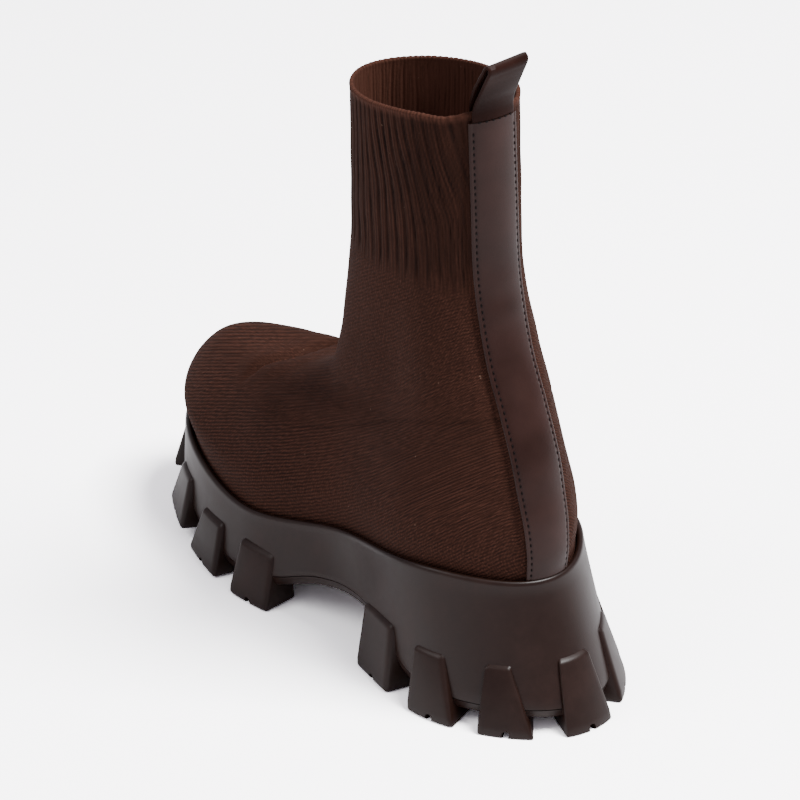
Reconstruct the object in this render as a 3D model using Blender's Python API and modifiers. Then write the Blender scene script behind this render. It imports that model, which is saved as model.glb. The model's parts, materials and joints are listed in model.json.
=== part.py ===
"""Sock boot, left shoe: a knit upper on a thick moulded lug sole.

Metres, +Z up. The toe points to -Y and the outer side of the foot to +X. The origin
lies on the floor under the middle of the heel, where the heel's middle tread pad stands.

Every closed curve round the shoe is a function of an angle theta: 0 at the toe tip,
a quarter turn at the outer side, half a turn at the back of the heel.
"""
import bmesh
import bpy
import numpy as np

MM = 0.001

# Foot and last
RIM_LENGTH = 245.0 * MM
RIM_BACK = 19.0 * MM
BALL_WIDTH = 91.2 * MM
TOE_SWING = 2.6 * MM
BOOT_HEIGHT = 248.0 * MM
COLLAR_DEPTH = 81.0 * MM
COLLAR_WIDTH = 56.5 * MM
COLLAR_BACK = -23.5 * MM
KNIT_WALL = 2.0 * MM

# Sole
HEEL_HEIGHT = 60.0 * MM
BALL_HEIGHT = 35.0 * MM
TOE_SPRING = 12.0 * MM
TOE_FLARE = 8.0 * MM
HEEL_FLARE = 25.0 * MM
SIDE_FLARE = 11.0 * MM
LIP_WIDTH = 3.0 * MM
LIP_ROUND = 2.4 * MM
CUP_DEPTH = 5.0 * MM
WEB_HEIGHT = 6.0 * MM
ARCH_HEIGHT = 22.0 * MM
BAND_HEIGHT = 4.5 * MM
BAND_STEP = 1.5 * MM
WALL_CURVE = 1.1

# Lugs
LUG_PROUD = 6.0 * MM
LUG_LEDGE = 1.6 * MM
LUG_REACH = 18.0 * MM
LUG_FOOT = 24.0 * MM
LUG_HEAD = 20.0 * MM
LUG_NOTCH = 2.4 * MM
LUG_BULGE = 0.5 * MM
PAD_LENGTH = 15.0 * MM
PAD_WIDTH = 34.0 * MM
PAD_BEVEL = 1.5 * MM
TREAD_SINK = 2.0 * MM

# Strip, loop and insole
STRIP_WIDTH = 22.0 * MM
STRIP_FOOT_WIDTH = 19.0 * MM
STRIP_THICK = 1.3 * MM
STRIP_TOP = 4.0 * MM
LOOP_WIDTH = 19.0 * MM
LOOP_THICK = 1.3 * MM
LOOP_HEIGHT = 21.5 * MM
LOOP_LEAN = 10.0 * MM
LOOP_TAIL = 18.0 * MM
INSOLE_THICK = 3.5 * MM

GAP = 0.3 * MM

# Shares of the shoe's length, from toe to heel, where the widths below are given
STATIONS = (0.13, 0.36, 0.60, 0.87)

# Half widths of the rim as shares of half the ball width: toe, ball, waist, heel
RIM_OUTER = (0.795, 0.990, 0.772, 0.804)
RIM_INNER = (0.833, 1.009, 0.767, 0.812)

# What the floor outline stands out sideways from the rim, as shares of SIDE_FLARE
FLARE_OUTER = (0.52, 1.01, 0.92, 0.66)
FLARE_INNER = (0.36, 0.38, 0.63, 0.67)

# Height of the rim along the shoe: share of the length, share of the rise from
# BALL_HEIGHT to HEEL_HEIGHT
RIM_LINE = (
    (0.00, 0.39),
    (0.15, 0.27),
    (0.36, 0.00),
    (0.60, 0.48),
    (0.87, 1.02),
    (1.00, 0.97),
)

# Lower edge of the wall between the lugs: distance from the toe as a share of the
# floor length, share of ARCH_HEIGHT added to WEB_HEIGHT
ARCH_LINE = (
    (0.00, 0.00),
    (0.34, 0.00),
    (0.44, 0.18),
    (0.53, 0.62),
    (0.60, 0.76),
    (0.66, 0.70),
    (0.76, 0.14),
    (0.86, 0.00),
    (1.00, 0.00),
)

# Where the toe spring starts, as a share of the floor length, and how it curves up
SPRING_START = 0.356
SPRING_CURVE = 1.3

# Upper sections above the rim, from the toe box to the ankle:
#   u      place up the upper, 0 at the feather edge and 1 at the collar
#   front  reach of the section's front behind the rim's tip, share of RIM_LENGTH
#   fz     height of the front, share of BOOT_HEIGHT
#   back   reach of the section's back ahead of the rim's rear, share of RIM_LENGTH
#   bz     height of the back, share of BOOT_HEIGHT
#   toe, ball, waist, heel: half widths, shares of half the ball width
SECTIONS = (
    # u    front   fz     back   bz     toe    ball   waist  heel
    (0.11, 0.000, 0.222, 0.010, 0.278, 0.790, 0.970, 0.765, 0.770),
    (0.18, 0.006, 0.253, 0.014, 0.325, 0.702, 0.924, 0.755, 0.755),
    (0.26, 0.044, 0.295, 0.026, 0.375, 0.528, 0.827, 0.715, 0.705),
    (0.36, 0.113, 0.320, 0.042, 0.432, 0.412, 0.674, 0.680, 0.650),
    (0.49, 0.321, 0.354, 0.078, 0.510, 0.351, 0.559, 0.620, 0.580),
    (0.62, 0.441, 0.441, 0.121, 0.596, 0.424, 0.570, 0.585, 0.525),
)

# Upper sections up the shaft, in shares of the collar's own sizes:
#   u      place up the upper
#   front  reach of the front ahead of the collar's front, share of COLLAR_DEPTH
#   fz     height of the front, share of BOOT_HEIGHT
#   back   reach of the back behind the collar's back, share of COLLAR_DEPTH
#   bz     height of the back, share of BOOT_HEIGHT
#   wide   width of the section, share of COLLAR_WIDTH
SHAFT = (
    # u    front   fz     back   bz     wide
    (0.75, 0.029, 0.656, 0.065, 0.716, 0.960),
    (0.88, 0.000, 0.800, 0.030, 0.855, 0.975),
    (1.00, 0.000, 0.959, 0.000, 1.000, 1.000),
)

# A shaft section's half widths at the four stations, shares of half its width
SHAFT_OVAL = (0.70, 0.98, 1.00, 0.74)

# Lugs round the floor outline:
#   place  share of the outline from the toe tip, outer side first
#   foot   width on the floor, share of LUG_FOOT
#   head   width at the top, share of LUG_HEAD
#   rise   height of the head, share of the wall's height there
LUGS = (
    # place  foot   head  rise
    (0.030, 0.90, 0.80, 0.42),
    (0.100, 1.04, 0.95, 0.43),
    (0.157, 1.05, 0.96, 0.44),
    (0.213, 1.00, 1.12, 0.45),
    (0.337, 1.08, 1.18, 0.20),
    (0.397, 1.00, 0.80, 0.32),
    (0.449, 0.98, 0.55, 0.33),
    (0.506, 1.04, 0.88, 0.37),
    (0.561, 1.00, 0.88, 0.37),
    (0.613, 1.00, 0.80, 0.33),
    (0.667, 1.08, 1.18, 0.20),
    (0.796, 1.00, 1.12, 0.45),
    (0.845, 1.05, 0.96, 0.44),
    (0.903, 1.04, 0.95, 0.43),
    (0.970, 0.90, 0.80, 0.42),
)

# Middle pads of the tread: distance behind the origin as a share of the floor
# length, and width as a share of PAD_WIDTH
PADS = (
    (0.000, 1.00),
    (-0.120, 1.00),
    (-0.435, 1.20),
    (-0.560, 1.20),
    (-0.685, 0.90),
)

# Side view of the loop, from its outer foot over the fold to its inner foot:
#   out    distance behind the wall's middle, share of LOOP_LEAN
#   up     height over the collar, share of LOOP_HEIGHT
#   wrap   how far the ribbon follows the collar's curve, 1 on the wall
LOOP_SIDE = (
    # out    up     wrap
    (0.27, 0.20, 0.80),
    (0.60, 0.42, 0.50),
    (0.92, 0.64, 0.25),
    (1.10, 0.82, 0.10),
    (1.12, 0.93, 0.05),
    (1.05, 1.00, 0.02),
    (0.86, 0.99, 0.02),
    (0.46, 0.90, 0.05),
    (0.02, 0.68, 0.20),
    (-0.20, 0.40, 0.50),
)

# Places up the upper: level with the rim, where the strip's foot starts over it, how
# far the strip narrows above that, and where the rim's dip and the toe's swing die out
RIM_PLACE = 0.045
STRIP_PLACE = 0.053
NARROW_REACH = 0.25
DIP_END = 0.50
SWING_END = 0.60

# Share of the length, from the tip, over which the toe swings inward, and how it curves
SWING_REACH = 0.55
SWING_CURVE = 1.5

# Rings that close the sole and the insole: how far the middle line draws in at its
# ends, and how far out the ring between it and the edge lies
SPINE_DRAW = 0.8
SPINE_RING = 0.6

# Numbers of columns and rows in the surfaces; a lug's columns are shares of half its width
COLUMNS = 56
UPPER_ROWS = 24
LUG_COLUMNS = (-1.0, -0.6, -0.11, 0.0, 0.11, 0.6, 1.0)
STRIP_COLUMNS = 5
STRIP_ROWS = 26
LOOP_COLUMNS = 7

# Steps for slopes along the surfaces, and the distance under which points are one
ANGLE_STEP = 0.002
PLACE_STEP = 0.004
MERGE = 0.01 * MM

COLOURS = {
    "sole": (0x40, 0x36, 0x34),
    "upper": (0x3C, 0x26, 0x1E),
    "backstay": (0x4A, 0x35, 0x32),
    "pull_loop": (0x4A, 0x35, 0x32),
    "insole": (0x35, 0x25, 0x20),
}
ROUGHNESS = {"sole": 0.5, "upper": 0.9, "backstay": 0.42, "pull_loop": 0.42, "insole": 0.85}


def smooth(x, places, values):
    """Cubic curve through a table: values (n, ...) given at n rising places."""
    places = np.asarray(places, float)
    values = np.asarray(values, float)
    x = np.asarray(x, float)
    slopes = np.gradient(values, places, axis=0)
    row = np.clip(np.searchsorted(places, x, side="right") - 1, 0, len(places) - 2)
    step = places[row + 1] - places[row]
    t = (x - places[row]) / step
    if values.ndim > 1:
        t = t.reshape(t.shape + (1,) * (values.ndim - 1))
        step = step.reshape(t.shape)
    start = (1 + 2 * t) * (1 - t) ** 2 * values[row] + t * (1 - t) ** 2 * step * slopes[row]
    end = t * t * (3 - 2 * t) * values[row + 1] + t * t * (t - 1) * step * slopes[row + 1]
    return start + end


def share_along(theta):
    """Share of the length from toe (0) to heel (1) at an angle round the shoe."""
    return (1 - np.cos(theta)) / 2


def half_width(share, widths):
    """Rounded-end half width along the shoe that passes through the four stations."""
    stations = np.array(STATIONS)
    roundness = np.sqrt(4 * stations * (1 - stations))
    scaled = np.asarray(widths) / roundness
    table = np.concatenate([scaled[:1], scaled, scaled[-1:]])
    fullness = smooth(share, (0.0, *STATIONS, 1.0), table)
    return fullness * np.sqrt(np.clip(4 * share * (1 - share), 0, None))


def oval(theta, front, back, outer, inner, swing):
    """Plan curve of a section: x and y from its ends and four half widths a side."""
    share = share_along(theta)
    side = np.sin(theta)
    x = np.where(side >= 0, half_width(share, outer), -half_width(share, inner))
    x = x - swing * np.clip((SWING_REACH - share) / SWING_REACH, 0, 1) ** SWING_CURVE
    return np.stack([x, front + (back - front) * share], -1)


def footprint(theta, flare):
    """Plan outline of the sole: flare 0 is the rim and 1 the lugs on the floor."""
    front = RIM_BACK - RIM_LENGTH - flare * TOE_FLARE
    back = RIM_BACK + flare * HEEL_FLARE
    outer = np.array(RIM_OUTER) * BALL_WIDTH / 2 + flare * np.array(FLARE_OUTER) * SIDE_FLARE
    inner = np.array(RIM_INNER) * BALL_WIDTH / 2 + flare * np.array(FLARE_INNER) * SIDE_FLARE
    return oval(theta, front, back, outer, inner, TOE_SWING)


def inset(theta, flare, depth):
    """The footprint moved in by depth, square to its own edge."""
    along = footprint(theta + ANGLE_STEP, flare) - footprint(theta - ANGLE_STEP, flare)
    along = along / np.linalg.norm(along, axis=-1, keepdims=True)
    inward = np.stack([-along[..., 1], along[..., 0]], -1)
    return footprint(theta, flare) + inward * np.asarray(depth)[..., None]


def rim_height(theta):
    """Height of the sole's top edge round the shoe."""
    share, rise = np.array(RIM_LINE).T
    return BALL_HEIGHT + (HEEL_HEIGHT - BALL_HEIGHT) * smooth(share_along(theta), share, rise)


def footbed_height(y):
    """Height of the cup's floor, CUP_DEPTH under the rim beside it."""
    share, rise = np.array(RIM_LINE).T
    place = np.clip((y - RIM_BACK + RIM_LENGTH) / RIM_LENGTH, 0, 1)
    return BALL_HEIGHT + (HEEL_HEIGHT - BALL_HEIGHT) * smooth(place, share, rise) - CUP_DEPTH


def floor_share(y):
    """Place along the floor outline, 0 at the toe and 1 at the heel."""
    front = RIM_BACK - RIM_LENGTH - TOE_FLARE
    return (y - front) / (RIM_LENGTH + TOE_FLARE + HEEL_FLARE)


def toe_rise(y):
    """Toe spring: how far the lugs' feet are off the floor."""
    ahead = np.clip((SPRING_START - floor_share(y)) / SPRING_START, 0, 1.2)
    return TOE_SPRING * ahead ** SPRING_CURVE


def web_height(y):
    """Height of the sole's underside between the lugs, with the arch."""
    share, rise = np.array(ARCH_LINE).T
    arch = ARCH_HEIGHT * smooth(np.clip(floor_share(y), 0, 1), share, rise)
    return WEB_HEIGHT + np.clip(arch, 0, None) + toe_rise(y)


def join_height(plan, height):
    """Plan points (n, 2) and their heights as points in space."""
    return np.concatenate([plan, np.broadcast_to(height, plan.shape[:-1])[..., None]], -1)


def wall_point(theta, up):
    """Sole's wall between the lugs: up is 0 at its lower edge and 1 at the rim."""
    low_plan = inset(theta, 1.0, LUG_PROUD)
    low_height = web_height(low_plan[..., 1]) + BAND_HEIGHT
    rim_plan = footprint(theta, 0.0)
    top = rim_height(theta) - LIP_ROUND
    spread = ((1 - up) ** WALL_CURVE)[..., None]
    plan = rim_plan + (low_plan - rim_plan) * spread
    return join_height(plan, low_height + (top - low_height) * up)


def close_with(plan, height_at):
    """Two rings that close a plan curve: one part of the way in, one on its middle line.

    On the middle line opposite points meet and the ends draw in. height_at gives a
    point's height from its y.
    """
    opposite = np.roll(plan[::-1], 1, axis=0)
    middle = (plan + opposite) / 2
    centre = (plan[0] + plan[len(plan) // 2]) / 2
    middle = centre + (middle - centre) * SPINE_DRAW
    inner = middle + (plan - middle) * SPINE_RING
    return [join_height(ring, height_at(ring[:, 1])) for ring in (inner, middle)]


def sole_rings():
    """The sole's rings from the underside's spine round the wall to the cup's floor."""
    theta = np.arange(COLUMNS) * 2 * np.pi / COLUMNS
    ones = np.ones(COLUMNS)
    under = inset(theta, 1.0, LUG_PROUD + BAND_STEP)
    rim = rim_height(theta)
    lip = (
        (0.25 * LIP_ROUND, -0.30 * LIP_ROUND),
        (0.60 * LIP_ROUND, 0.0),
        (LIP_WIDTH - 0.15 * LIP_ROUND, -0.10 * LIP_ROUND),
        (LIP_WIDTH, -0.50 * LIP_ROUND),
    )
    rings = close_with(under, web_height)[::-1]
    rings += [join_height(under, web_height(under[:, 1]))]
    rings += [wall_point(theta, share * ones) for share in (0.0, 0.33, 0.67, 1.0)]
    rings += [join_height(inset(theta, 0.0, depth), rim + drop) for depth, drop in lip]
    cup = inset(theta, 0.0, LIP_WIDTH)
    rings += [join_height(cup, footbed_height(cup[:, 1]))]
    return rings + close_with(cup, footbed_height)


def loft(rings, closed_ends=True, round_trip=True):
    """Mesh of faces between rings of equal length; coincident points are merged."""
    points = np.concatenate(rings)
    count = len(rings[0])
    mesh = bmesh.new()
    verts = [mesh.verts.new(p) for p in points.tolist()]
    last = count if round_trip else count - 1
    for row in range(len(rings) - 1):
        for column in range(last):
            right = (column + 1) % count
            corners = (row * count + column, row * count + right)
            corners += ((row + 1) * count + right, (row + 1) * count + column)
            mesh.faces.new([verts[i] for i in corners])
    if closed_ends:
        mesh.faces.new(verts[:count][::-1])
        mesh.faces.new(verts[-count:])
    return mesh


def close_spines(mesh):
    """Merge the points that meet on a spine, which closes the loft's two ends."""
    bmesh.ops.remove_doubles(mesh, verts=mesh.verts, dist=MERGE)
    bmesh.ops.dissolve_degenerate(mesh, edges=mesh.edges, dist=MERGE)
    return mesh


def to_object(mesh, name, collection):
    """Turn a bmesh into a named object; a closed one has its faces turned outward."""
    if all(edge.is_manifold for edge in mesh.edges):
        bmesh.ops.recalc_face_normals(mesh, faces=mesh.faces)
    data = bpy.data.meshes.new(name)
    mesh.to_mesh(data)
    mesh.free()
    item = bpy.data.objects.new(name, data)
    collection.objects.link(item)
    return item


def finish(item, sharp_degrees):
    """Give an object its own Principled material and smooth shading."""
    material = bpy.data.materials.new(item.name)
    material.use_nodes = True
    shader = material.node_tree.nodes["Principled BSDF"]
    rgb = [((v / 255 + 0.055) / 1.055) ** 2.4 for v in COLOURS[item.name]]
    shader.inputs["Base Color"].default_value = (*rgb, 1.0)
    shader.inputs["Roughness"].default_value = ROUGHNESS[item.name]
    shader.inputs["Metallic"].default_value = 0.0
    item.data.materials.append(material)
    item.data.shade_smooth()
    item.data.set_sharp_from_angle(angle=np.radians(sharp_degrees))


def outline_angles():
    """Angles and the share of the floor outline's length that each has reached."""
    theta = np.linspace(0, 2 * np.pi, 721)
    plan = footprint(theta, 1.0)
    steps = np.linalg.norm(np.diff(plan, axis=0), axis=1)
    length = np.concatenate([[0.0], np.cumsum(steps)])
    return theta, length / length[-1], length[-1]


def lug_mesh(place, foot_width, head_width, rise):
    """One lug: six-sided sections carried along the outline, notched in the middle."""
    angles, shares, length = outline_angles()

    def theta_at(offset):
        return np.interp((place + offset / length) % 1.0, shares, angles)

    middle = np.array([theta_at(0.0)])
    low = wall_point(middle, np.zeros(1))[0, 2]
    top = rim_height(middle)[0] - LIP_ROUND
    head_z = low + (top - low) * rise
    sections = []
    for t in LUG_COLUMNS:
        foot = np.array([theta_at(t * foot_width / 2)])
        head = np.array([theta_at(t * head_width / 2)])
        outer_foot = footprint(foot, 1.0)[0]
        inner_foot = inset(foot, 1.0, LUG_REACH)[0]
        inner_head = inset(head, 1.0, LUG_REACH)[0]
        wall = wall_point(head, np.full(1, rise))[0]
        outward = wall[:2] - inner_head
        outward = outward / np.linalg.norm(outward)
        floor = np.array([*outer_foot, toe_rise(outer_foot[1])])
        face_head = np.array([*(wall[:2] + outward * LUG_LEDGE), head_z])
        up_face = (face_head - floor) / (head_z - floor[2]) * LUG_NOTCH
        sections.append([
            floor + up_face * (t == 0.0),
            floor + up_face * 1.5 + np.array([*outward, 0.0]) * LUG_BULGE,
            face_head,
            (*(wall[:2] - outward * LUG_LEDGE), head_z + LUG_LEDGE),
            (*inner_head, low + TREAD_SINK),
            (*inner_foot, toe_rise(inner_foot[1])),
        ])
    return loft([np.array(s) for s in sections])


def pad_mesh(place, width):
    """A middle tread pad: a bevelled box from its foot up into the underside."""
    floor_length = RIM_LENGTH + TOE_FLARE + HEEL_FLARE
    y = place * floor_length
    low = toe_rise(y - PAD_LENGTH / 2)
    ends = np.array([y - PAD_LENGTH / 2, y + PAD_LENGTH / 2])
    high = web_height(ends).max() + TREAD_SINK
    mesh = bmesh.new()
    bmesh.ops.create_cube(mesh, size=1.0)
    bmesh.ops.scale(mesh, vec=(width, PAD_LENGTH, high - low), verts=mesh.verts)
    bmesh.ops.translate(mesh, vec=(0, y, (high + low) / 2), verts=mesh.verts)
    upright = [e for e in mesh.edges if abs(e.verts[0].co.z - e.verts[1].co.z) > MM]
    bmesh.ops.bevel(mesh, geom=upright, offset=PAD_BEVEL, segments=1, affect="EDGES")
    return mesh


def make_sole(parts, cutters):
    """The moulded sole: body, perimeter lugs and middle pads joined to one solid."""
    body = close_spines(loft(sole_rings(), closed_ends=False))
    bmesh.ops.triangulate(body, faces=body.faces)
    sole = to_object(body, "sole", parts)
    tread = bpy.data.collections.new("tread")
    cutters.children.link(tread)
    lumps = []
    for place, foot, head, rise in LUGS:
        lumps.append(lug_mesh(place, LUG_FOOT * foot, LUG_HEAD * head, rise))
    lumps += [pad_mesh(place, PAD_WIDTH * width) for place, width in PADS]
    for number, mesh in enumerate(lumps):
        bmesh.ops.triangulate(mesh, faces=mesh.faces)
        lump = to_object(mesh, f"tread_{number:02d}", tread)
        lump.hide_render = True
        lump.display_type = "WIRE"
    join = sole.modifiers.new("join tread", "BOOLEAN")
    join.operation = "UNION"
    join.operand_type = "COLLECTION"
    join.collection = tread
    join.solver = "EXACT"
    finish(sole, 32)
    return sole


def upper_rings(theta):
    """The upper's level rows: u of each row and its points (rows, angles, 3)."""
    share = share_along(theta)
    rim = rim_height(theta)
    ends = rim_height(np.array([0.0, np.pi]))
    dip = rim - (ends[0] + (ends[1] - ends[0]) * share)
    half_ball = BALL_WIDTH / 2
    rim_tip = RIM_BACK - RIM_LENGTH
    tuck = inset(theta, 0.0, LIP_WIDTH + GAP)
    places = [0.0, RIM_PLACE]
    rows = [join_height(tuck, footbed_height(tuck[:, 1]) + GAP), join_height(tuck, rim)]
    for u, front, fz, back, bz, *widths in SECTIONS:
        fade = max(0.0, 1 - u / DIP_END) ** SWING_CURVE
        half = np.array(widths) * half_ball
        plan = oval(theta, rim_tip + front * RIM_LENGTH, RIM_BACK - back * RIM_LENGTH,
                    half, half, TOE_SWING * max(0.0, 1 - u / SWING_END))
        height = (fz + (bz - fz) * share) * BOOT_HEIGHT + dip * fade
        places.append(u)
        rows.append(join_height(plan, height))
    for u, front, fz, back, bz, wide in SHAFT:
        half = np.array(SHAFT_OVAL) * wide * COLLAR_WIDTH / 2
        collar_front = COLLAR_BACK - COLLAR_DEPTH
        plan = oval(theta, collar_front - front * COLLAR_DEPTH,
                    COLLAR_BACK + back * COLLAR_DEPTH, half, half, 0.0)
        places.append(u)
        rows.append(join_height(plan, (fz + (bz - fz) * share) * BOOT_HEIGHT))
    return np.array(places), np.stack(rows)


def upper_point(u, theta):
    """Outer face of the upper; u and theta are arrays of one shape."""
    u = np.asarray(u, float)
    theta = np.asarray(theta, float)
    places, rows = upper_rings(theta.ravel())
    flat = u.ravel()
    slopes = np.gradient(rows, places, axis=0)
    row = np.clip(np.searchsorted(places, flat, side="right") - 1, 0, len(places) - 2)
    pick = np.arange(flat.size)
    step = (places[row + 1] - places[row])[:, None]
    t = (flat - places[row])[:, None] / step
    start = (1 + 2 * t) * (1 - t) ** 2 * rows[row, pick]
    start = start + t * (1 - t) ** 2 * step * slopes[row, pick]
    end = t * t * (3 - 2 * t) * rows[row + 1, pick]
    end = end + t * t * (t - 1) * step * slopes[row + 1, pick]
    return (start + end).reshape(u.shape + (3,))


def upper_normal(u, theta):
    """Outward direction of the upper's face, from two short steps along it."""
    low = np.clip(u - PLACE_STEP, 0, 1)
    high = np.clip(u + PLACE_STEP, 0, 1)
    up = upper_point(high, theta) - upper_point(low, theta)
    round_it = upper_point(u, theta + PLACE_STEP) - upper_point(u, theta - PLACE_STEP)
    normal = np.cross(round_it, up)
    return normal / np.linalg.norm(normal, axis=-1, keepdims=True)


def make_upper(parts):
    """The knit upper: an open tube of the last's shape with a wall inward."""
    theta = np.arange(COLUMNS) * 2 * np.pi / COLUMNS
    first = SECTIONS[0][0]
    low = [0.0, RIM_PLACE, (RIM_PLACE + first) / 2]
    levels = np.concatenate([low, np.linspace(first, 1.0, UPPER_ROWS - len(low))])
    rings = [upper_point(np.full(COLUMNS, u), theta) for u in levels]
    upper = to_object(loft(rings, closed_ends=False), "upper", parts)
    wall = upper.modifiers.new("knit wall", "SOLIDIFY")
    wall.thickness = KNIT_WALL
    wall.offset = -1.0
    finish(upper, 60)
    return upper


def patch_half_angle(u, width):
    """Angle each side of the heel's middle that takes half the width of a patch."""
    spread = 0.02
    mid = np.full_like(u, np.pi)
    chord = upper_point(u, mid + spread) - upper_point(u, mid - spread)
    return width / 2 / (np.linalg.norm(chord, axis=-1) / (2 * spread))


def level_below_collar(drop):
    """Place u on the back seam that lies a distance down from the collar."""
    u = np.linspace(0.5, 1.0, 201)
    line = upper_point(u, np.full_like(u, np.pi))
    steps = np.linalg.norm(np.diff(line, axis=0), axis=1)
    below = np.concatenate([np.cumsum(steps[::-1])[::-1], [0.0]])
    return np.interp(-drop, -below, u)


def make_backstay(parts):
    """The leather strip up the back seam, a patch of the upper's own face."""
    levels = np.linspace(STRIP_PLACE, level_below_collar(STRIP_TOP), STRIP_ROWS)
    across = np.linspace(-1, 1, STRIP_COLUMNS)
    narrow = np.clip(1 - (levels - STRIP_PLACE) / NARROW_REACH, 0, 1)
    width = STRIP_WIDTH + (STRIP_FOOT_WIDTH - STRIP_WIDTH) * narrow
    half = patch_half_angle(levels, width)
    u = np.repeat(levels[:, None], STRIP_COLUMNS, 1)
    theta = np.pi + half[:, None] * across[None, :]
    face = upper_point(u, theta) + upper_normal(u, theta) * GAP
    # The lowest row stands just clear of the sole's lip
    rim = rim_height(theta[0])
    face[0, :, 2] = rim + GAP
    strip = to_object(loft(list(face), closed_ends=False, round_trip=False), "backstay", parts)
    return finish_shell(strip, STRIP_THICK)


def finish_shell(item, thickness):
    """Give an open patch its thickness, away from the upper, and a material."""
    wall = item.modifiers.new("thickness", "SOLIDIFY")
    wall.thickness = thickness
    wall.offset = 1.0
    finish(item, 40)
    return item


def make_loop(parts):
    """The pull loop: a folded ribbon with one leaf on each side of the collar."""
    foot_u = level_below_collar(STRIP_TOP - GAP)
    across = np.linspace(-1, 1, LOOP_COLUMNS)
    half = patch_half_angle(np.array([foot_u]), LOOP_WIDTH)[0]
    theta = np.pi + half * across
    collar = upper_point(np.ones(LOOP_COLUMNS), theta)
    top = collar[LOOP_COLUMNS // 2]
    outward = upper_normal(np.ones(LOOP_COLUMNS), theta)
    middle = -outward * KNIT_WALL / 2
    rows = []
    for u in (foot_u, (foot_u + 1) / 2, 1.0):
        level = np.full(LOOP_COLUMNS, u)
        rows.append(upper_point(level, theta) + upper_normal(level, theta) * GAP)
    for out, up, wrap in LOOP_SIDE:
        curve = (collar - top) * wrap
        point = top + curve + middle * wrap
        point[:, 1] += out * LOOP_LEAN
        point[:, 2] += up * LOOP_HEIGHT
        point[:, 0] = collar[:, 0]
        rows.append(point)
    for drop in (0.0, 0.5, 1.0):
        u = level_below_collar(LOOP_TAIL * drop) if drop else 1.0
        level = np.full(LOOP_COLUMNS, u)
        shift = upper_normal(level, theta) * (KNIT_WALL + GAP)
        rows.append(upper_point(level, theta) - shift)
    loop = to_object(loft(rows, closed_ends=False, round_trip=False), "pull_loop", parts)
    return finish_shell(loop, LOOP_THICK)


def make_insole(parts):
    """The sock liner on the cup's floor, inside the foot of the upper."""
    theta = np.arange(COLUMNS) * 2 * np.pi / COLUMNS
    edge = inset(theta, 0.0, LIP_WIDTH + GAP + KNIT_WALL + 2 * GAP)

    def under(y):
        return footbed_height(y) + GAP

    def over(y):
        return under(y) + INSOLE_THICK

    rings = close_with(edge, under)[::-1]
    rings += [join_height(edge, under(edge[:, 1])), join_height(edge, over(edge[:, 1]))]
    rings += close_with(edge, over)
    insole = to_object(close_spines(loft(rings, closed_ends=False)), "insole", parts)
    finish(insole, 40)
    return insole


def main():
    """Build the boot in a scene of its own."""
    for item in list(bpy.data.objects):
        bpy.data.objects.remove(item, do_unlink=True)
    parts = bpy.data.collections.new("sock boot")
    cutters = bpy.data.collections.new("cutters")
    bpy.context.scene.collection.children.link(parts)
    bpy.context.scene.collection.children.link(cutters)
    make_sole(parts, cutters)
    make_upper(parts)
    make_insole(parts)
    make_backstay(parts)
    make_loop(parts)


main()
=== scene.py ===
# %% [markdown]
# # A knitted sock boot on a lug sole
# This lesson dresses a packed boot: a left sock boot with a ribbed knit shaft, a leather
# strip up the back with a pull loop, and a thick moulded sole with wedge lugs. The packed
# model gives the true sizes and stays as the frame. Here each piece gets a finer surface,
# worked out with numpy, and a material that behaves like the real one.

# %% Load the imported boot
import json
from contextlib import contextmanager

import bmesh
import bpy
import numpy as np
from mathutils import Matrix, Vector

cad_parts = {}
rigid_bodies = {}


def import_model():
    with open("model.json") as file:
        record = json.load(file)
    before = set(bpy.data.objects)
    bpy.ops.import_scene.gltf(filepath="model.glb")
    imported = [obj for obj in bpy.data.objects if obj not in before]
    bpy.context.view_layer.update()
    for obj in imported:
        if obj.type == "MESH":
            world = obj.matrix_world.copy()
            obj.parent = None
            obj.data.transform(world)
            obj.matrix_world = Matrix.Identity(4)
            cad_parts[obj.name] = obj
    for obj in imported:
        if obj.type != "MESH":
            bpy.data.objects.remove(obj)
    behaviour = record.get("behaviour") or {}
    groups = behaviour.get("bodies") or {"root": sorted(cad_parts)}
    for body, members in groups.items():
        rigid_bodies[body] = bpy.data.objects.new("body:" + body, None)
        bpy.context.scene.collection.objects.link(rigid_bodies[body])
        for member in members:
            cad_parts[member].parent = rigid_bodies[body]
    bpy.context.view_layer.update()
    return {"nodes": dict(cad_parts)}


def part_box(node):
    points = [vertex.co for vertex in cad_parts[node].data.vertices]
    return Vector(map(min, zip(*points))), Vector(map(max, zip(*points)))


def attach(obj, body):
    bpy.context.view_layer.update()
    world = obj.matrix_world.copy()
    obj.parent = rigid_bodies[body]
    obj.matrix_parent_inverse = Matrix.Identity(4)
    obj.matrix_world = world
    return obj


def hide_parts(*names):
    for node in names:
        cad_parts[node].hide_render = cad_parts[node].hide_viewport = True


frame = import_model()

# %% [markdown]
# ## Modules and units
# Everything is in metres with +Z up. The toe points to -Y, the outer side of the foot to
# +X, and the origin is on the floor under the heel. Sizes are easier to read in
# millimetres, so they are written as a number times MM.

MM = 0.001
for node in frame["nodes"]:
    low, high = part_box(node)
    print(node, "size in mm", [round((b - a) / MM, 1) for a, b in zip(low, high)])

# %% [markdown]
# ## The boot's own sizes
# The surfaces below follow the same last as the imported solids, so they start from the same
# few sizes: the foot's length and ball width, the collar, the heel and the flare of the
# sole. Nothing else in the file sets how big the boot is.

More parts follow.
